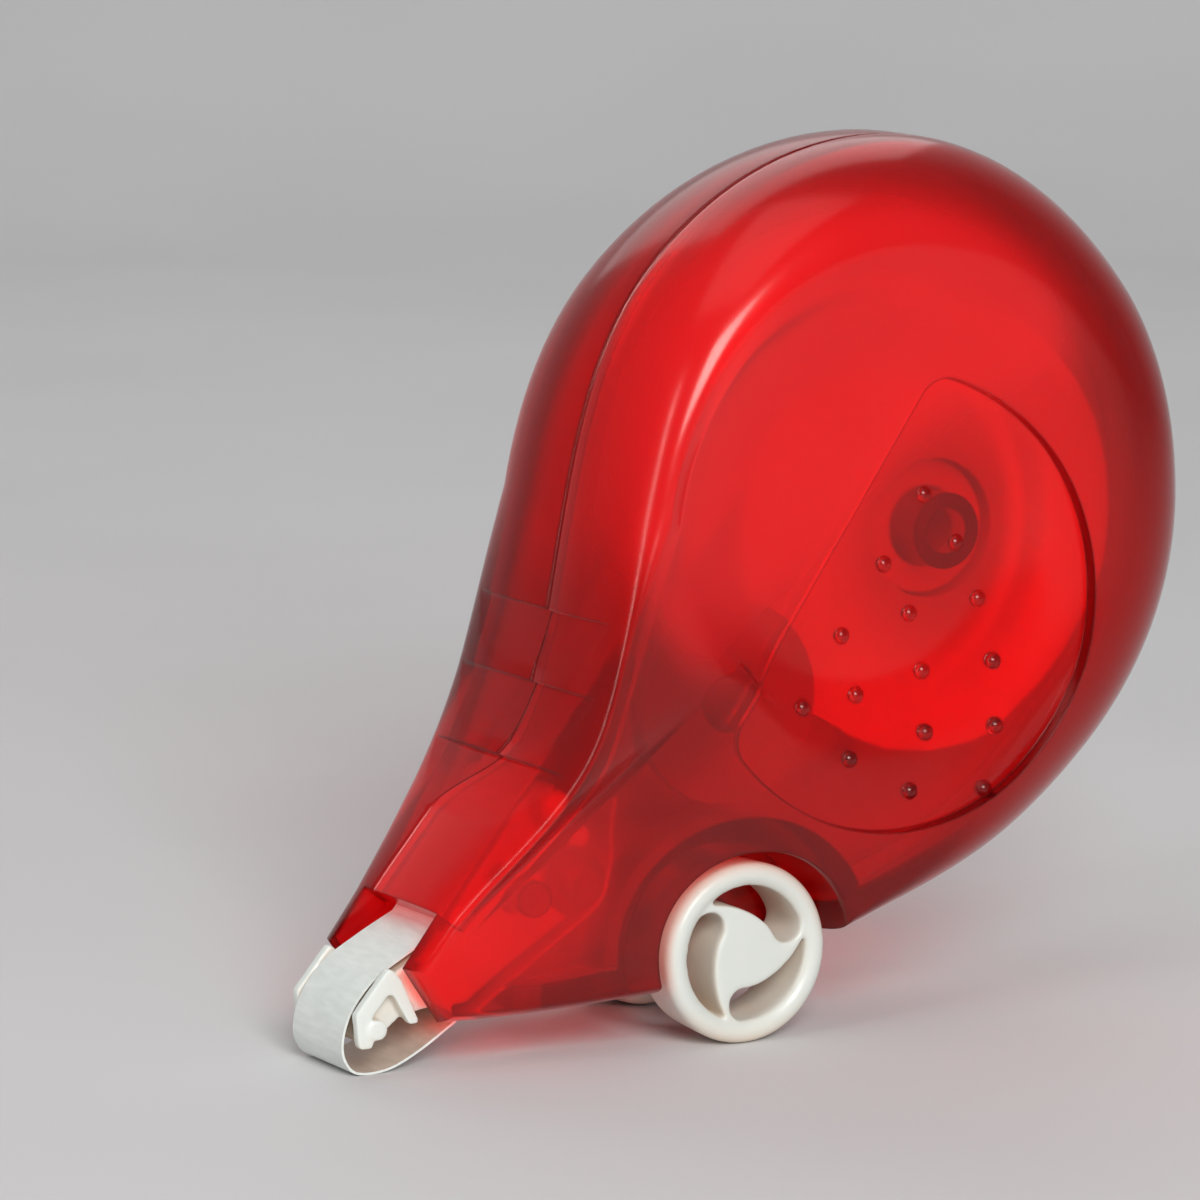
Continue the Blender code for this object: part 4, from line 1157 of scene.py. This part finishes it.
def red_plastic():
    """Clear red moulding, polished and in places satin, that darkens with depth, with painted
    shade at its edges, thumb rest and pimples and a painted shadow on what the neck holds.
    """
    made = Finish("shell_red")
    flow = made.noise(0.12, 2.0, (1.0, 1.0, 0.5))
    tint = made.colours(flow, (0.3, (0.92, 0.010, 0.014)), (0.7, (0.97, 0.014, 0.019)))
    satin = shell_satin(made)
    grain = made.spread(made.noise(0.5, 2.0), 0.16, 0.19)
    # The base colour darkens towards a deep maroon where shade is painted.
    made.drive(
        Base_Color=made.blend(shell_painted_shade(made), tint, (0.15, 0.003, 0.004)),
        Transmission_Weight=made.spread(satin, 0.9, 0.55, 0.0, 1.0),
        Roughness=made.sum('ADD', grain, made.sum('MULTIPLY', satin, SATIN_ROUGHNESS)),
    )
    made.bump(made.noise(0.3, 1.0), 0.002, 0.1)
    made.set(IOR=1.45, Specular_Tint=(1.0, 0.7, 0.65, 1.0))
    made.set(Coat_Weight=0.12, Coat_Roughness=0.12)
    made.absorb((0.80, 0.1, 0.15), 1.0)
    # Painted shadow: lamp light passing the plastic round the neck is dimmed, so what the neck
    # holds looks shaded.
    neck = made.spread(made.radius(NECK_SHADOW_AXIS), 1.0, 0.0, *NECK_SHADOW_RADII)
    made.pass_lamps(made.blend(neck, (0.99, 0.55, 0.52), (0.45, 0.12, 0.12)))
    return made.material


def moulded(name, light, shade, rough):
    """Opaque satin plastic with slight mottling, and painted shade: warmer recesses, found by
    ambient occlusion.
    """
    made = Finish(name)
    # Painted shade: recesses found by ambient occlusion take the warmer shade colour.
    hollow = made.node("ShaderNodeAmbientOcclusion", samples=6)
    hollow.inputs["Distance"].default_value = 2.5 * MM
    tint = made.colours(made.noise(0.35, 3.0), (0.3, tuple(0.97 * c for c in light)), (0.7, light))
    made.drive(
        Base_Color=made.blend(hollow.outputs["AO"], shade, tint),
        Roughness=made.spread(made.noise(0.8, 4.0), rough - 0.05, rough + 0.07),
    )
    made.bump(made.noise(2.2, 3.0), 0.005)
    made.set(IOR=1.5, Subsurface_Weight=0.12)
    made.set(Subsurface_Radius=(1.0, 0.8, 0.6), Subsurface_Scale=0.8 * MM)
    return made.material


def paper_tape(name, dark, light):
    """Coated paper tape: soft sheen with fine fibres across its width."""
    made = Finish(name)
    fibres = made.noise(3.0, 4.0, (1.0, 0.25, 1.0))
    made.drive(
        Base_Color=made.colours(fibres, (0.35, dark), (0.65, light)),
        Roughness=made.spread(fibres, 0.42, 0.6),
    )
    made.bump(fibres, 0.01)
    made.set(IOR=1.45)
    return made.material


def wound_tape(name, axis):
    """Edges of the wound tape: one fine line for each few turns."""
    made = Finish(name)
    turns = made.layers(axis, 3 * TAPE_THICKNESS)
    made.drive(
        Base_Color=made.colours(turns, (0.0, (0.70, 0.70, 0.66)), (0.35, (0.86, 0.87, 0.84))),
        Roughness=made.spread(made.noise(2.0, 3.0), 0.5, 0.65),
    )
    made.bump(turns, 0.03)
    return made.material


def rubber():
    """Matt black rubber."""
    made = Finish("clutch_rubber")
    grain = made.noise(4.0, 4.0)
    made.drive(
        Base_Color=made.colours(grain, (0.3, (0.018, 0.018, 0.018)), (0.7, (0.04, 0.04, 0.04))),
        Roughness=made.spread(grain, 0.6, 0.8),
    )
    made.bump(grain, 0.01)
    return made.material


def drawn_steel():
    """Drawn wire with fine lines along the axle."""
    made = Finish("axle_steel")
    lines = made.noise(6.0, 3.0, (1.0, 0.02, 1.0))
    made.drive(
        Base_Color=made.colours(lines, (0.3, (0.48, 0.48, 0.50)), (0.7, (0.62, 0.62, 0.64))),
        Roughness=made.spread(lines, 0.2, 0.38),
    )
    made.bump(lines, 0.004)
    made.set(Metallic=1.0)
    return made.material


def smooth_shading():
    """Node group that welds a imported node's facets and shades them smooth below an angle."""
    weld_distance = 0.001 * MM
    sharp_angle = math.radians(32.0)
    group = bpy.data.node_groups.new("smooth_facets", 'GeometryNodeTree')
    group.interface.new_socket("Geometry", in_out='INPUT', socket_type='NodeSocketGeometry')
    group.interface.new_socket("Geometry", in_out='OUTPUT', socket_type='NodeSocketGeometry')
    start = group.nodes.new("NodeGroupInput")
    weld = group.nodes.new("GeometryNodeMergeByDistance")
    weld.inputs["Distance"].default_value = weld_distance
    faces = group.nodes.new("GeometryNodeSetShadeSmooth")
    faces.domain = 'FACE'
    angle = group.nodes.new("GeometryNodeInputMeshEdgeAngle")
    below = group.nodes.new("FunctionNodeCompare")
    below.operation = 'LESS_THAN'
    below.inputs["B"].default_value = sharp_angle
    edges = group.nodes.new("GeometryNodeSetShadeSmooth")
    edges.domain = 'EDGE'
    end = group.nodes.new("NodeGroupOutput")
    for out, into in (
        (start.outputs["Geometry"], weld.inputs["Geometry"]),
        (weld.outputs["Geometry"], faces.inputs["Geometry"]),
        (faces.outputs["Geometry"], edges.inputs["Geometry"]),
        (angle.outputs["Unsigned Angle"], below.inputs["A"]),
        (below.outputs["Result"], edges.inputs["Shade Smooth"]),
        (edges.outputs["Geometry"], end.inputs["Geometry"]),
    ):
        group.links.new(out, into)
    return group


shell_finish = red_plastic()
tip_white = moulded("tip_white", (0.75, 0.78, 0.73), (0.76, 0.65, 0.52), 0.34)
wheel_white = moulded("wheel_white", (0.67, 0.70, 0.65), (0.74, 0.62, 0.50), 0.34)
# The reel is white plastic; its greyer white here is painted shade for the inside of the case.
reel_shaded_white = moulded("reel_shaded_white", (0.60, 0.60, 0.57), (0.54, 0.51, 0.46), 0.42)
ivory = moulded("gear_ivory", (0.78, 0.75, 0.66), (0.62, 0.56, 0.45), 0.42)
grey = moulded("reel_grey", (0.32, 0.32, 0.33), (0.22, 0.21, 0.21), 0.42)

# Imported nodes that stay, with their finishes
smooth_group = smooth_shading()
for name, finish in (
    ("drive_gear", ivory),
    ("clutch_ring", rubber()),
    ("supply_reel", reel_shaded_white),
    ("supply_tape_roll", wound_tape("supply_tape", SUPPLY_AXIS)),
    ("take_up_reel", grey),
    ("take_up_tape_roll", wound_tape("take_up_tape", TAKE_UP_AXIS)),
    ("wheel_axle", drawn_steel()),
):
    nodes[name].material_slots[0].material = finish
    nodes[name].modifiers.new("smooth", 'NODES').node_group = smooth_group

# Fine pieces in the place of packed ones
body_form = BodyForm()
for piece, node, body, slot, finish in (
    (make_shell(body_form, -1, "fine_near_shell"), "near_shell", "body", "shell", shell_finish),
    (make_shell(body_form, 1, "fine_far_shell"), "far_shell", "body", "shell", shell_finish),
    (make_tip(), "applicator_tip", "body", "white_plastic", tip_white),
    (make_tape(), "carrier_tape", "body", "tape", None),
    (make_wheel(-1, "fine_near_wheel"), "near_wheel", "wheels", "wheel_plastic", wheel_white),
    (make_wheel(1, "fine_far_wheel"), "far_wheel", "wheels", "wheel_plastic", wheel_white),
):
    if finish:
        piece.data.materials.clear()
        piece.data.materials.append(finish)
    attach(piece, body)
    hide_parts(node)


# Stage

def make_floor():
    """Pale floor that sweeps up behind the dispenser."""
    profile = [(FLOOR_FRONT, 0.0), (FLOOR_DEPTH, 0.0)]
    for s, c in quarter(FLOOR_BEND_STEPS)[1:]:
        profile.append((FLOOR_DEPTH + FLOOR_BEND * s, FLOOR_BEND * (1 - c)))
    profile.append((FLOOR_DEPTH + FLOOR_BEND, FLOOR_HEIGHT))
    turn = math.radians(FLOOR_TURN)
    across = Vector((math.cos(turn), math.sin(turn), 0.0))
    along = Vector((-math.sin(turn), math.cos(turn), 0.0))
    points = []
    for side in (-FLOOR_HALF_WIDTH, FLOOR_HALF_WIDTH):
        points += [across * side + along * y + Vector((0, 0, z)) for y, z in profile]
    count = len(profile)
    faces = [(k, k + 1, count + k + 1, count + k) for k in range(count - 1)]
    mesh = bpy.data.meshes.new("floor")
    mesh.from_pydata(points, [], faces)
    mesh.shade_smooth()
    made = Finish("floor_pale")
    mottle = made.noise(0.02, 2.0)
    pale = made.colours(mottle, (0.3, (0.64, 0.63, 0.63)), (0.7, (0.67, 0.66, 0.66)))
    made.drive(Base_Color=pale)
    made.set(Roughness=0.7)
    mesh.materials.append(made.material)
    link_object("floor", mesh)


def make_lamp(name, place, width, height, power):
    light = bpy.data.lights.new(name, 'AREA')
    light.shape = 'RECTANGLE'
    light.size = width
    light.size_y = height
    light.energy = power
    lamp = link_object(name, light)
    lamp.location = place
    lamp.rotation_euler = (LAMP_AIM - Vector(place)).to_track_quat('-Z', 'Y').to_euler()


def make_world():
    world = bpy.data.worlds.new("studio")
    world.use_nodes = True
    background = world.node_tree.nodes["Background"]
    background.inputs["Color"].default_value = (0.95, 0.97, 1.0, 1.0)
    background.inputs["Strength"].default_value = WORLD_STRENGTH
    bpy.context.scene.world = world


def make_camera():
    """Camera at the photograph's viewing angle."""
    turn = math.radians(CAMERA_TURN)
    lift = math.radians(CAMERA_LIFT)
    level = Vector((math.sin(turn), math.cos(turn), 0.0))
    look = level * math.cos(lift) - Vector((0.0, 0.0, math.sin(lift)))
    target = Vector((CAMERA_TARGET[0] - MIDDLE_X, 0.0, CAMERA_TARGET[1])) * MM
    data = bpy.data.cameras.new("camera")
    data.sensor_width = CAMERA_SENSOR
    data.lens = CAMERA_FOCUS_PIXELS * CAMERA_SENSOR / PHOTO_PIXELS
    data.clip_start = 0.01
    camera = link_object("camera", data)
    camera.location = target - look * CAMERA_DISTANCE
    camera.rotation_euler = look.to_track_quat('-Z', 'Y').to_euler()
    bpy.context.scene.camera = camera


make_floor()
make_world()
for lamp in LAMPS:
    make_lamp(*lamp)
make_camera()
bpy.context.scene.view_settings.view_transform = 'Standard'
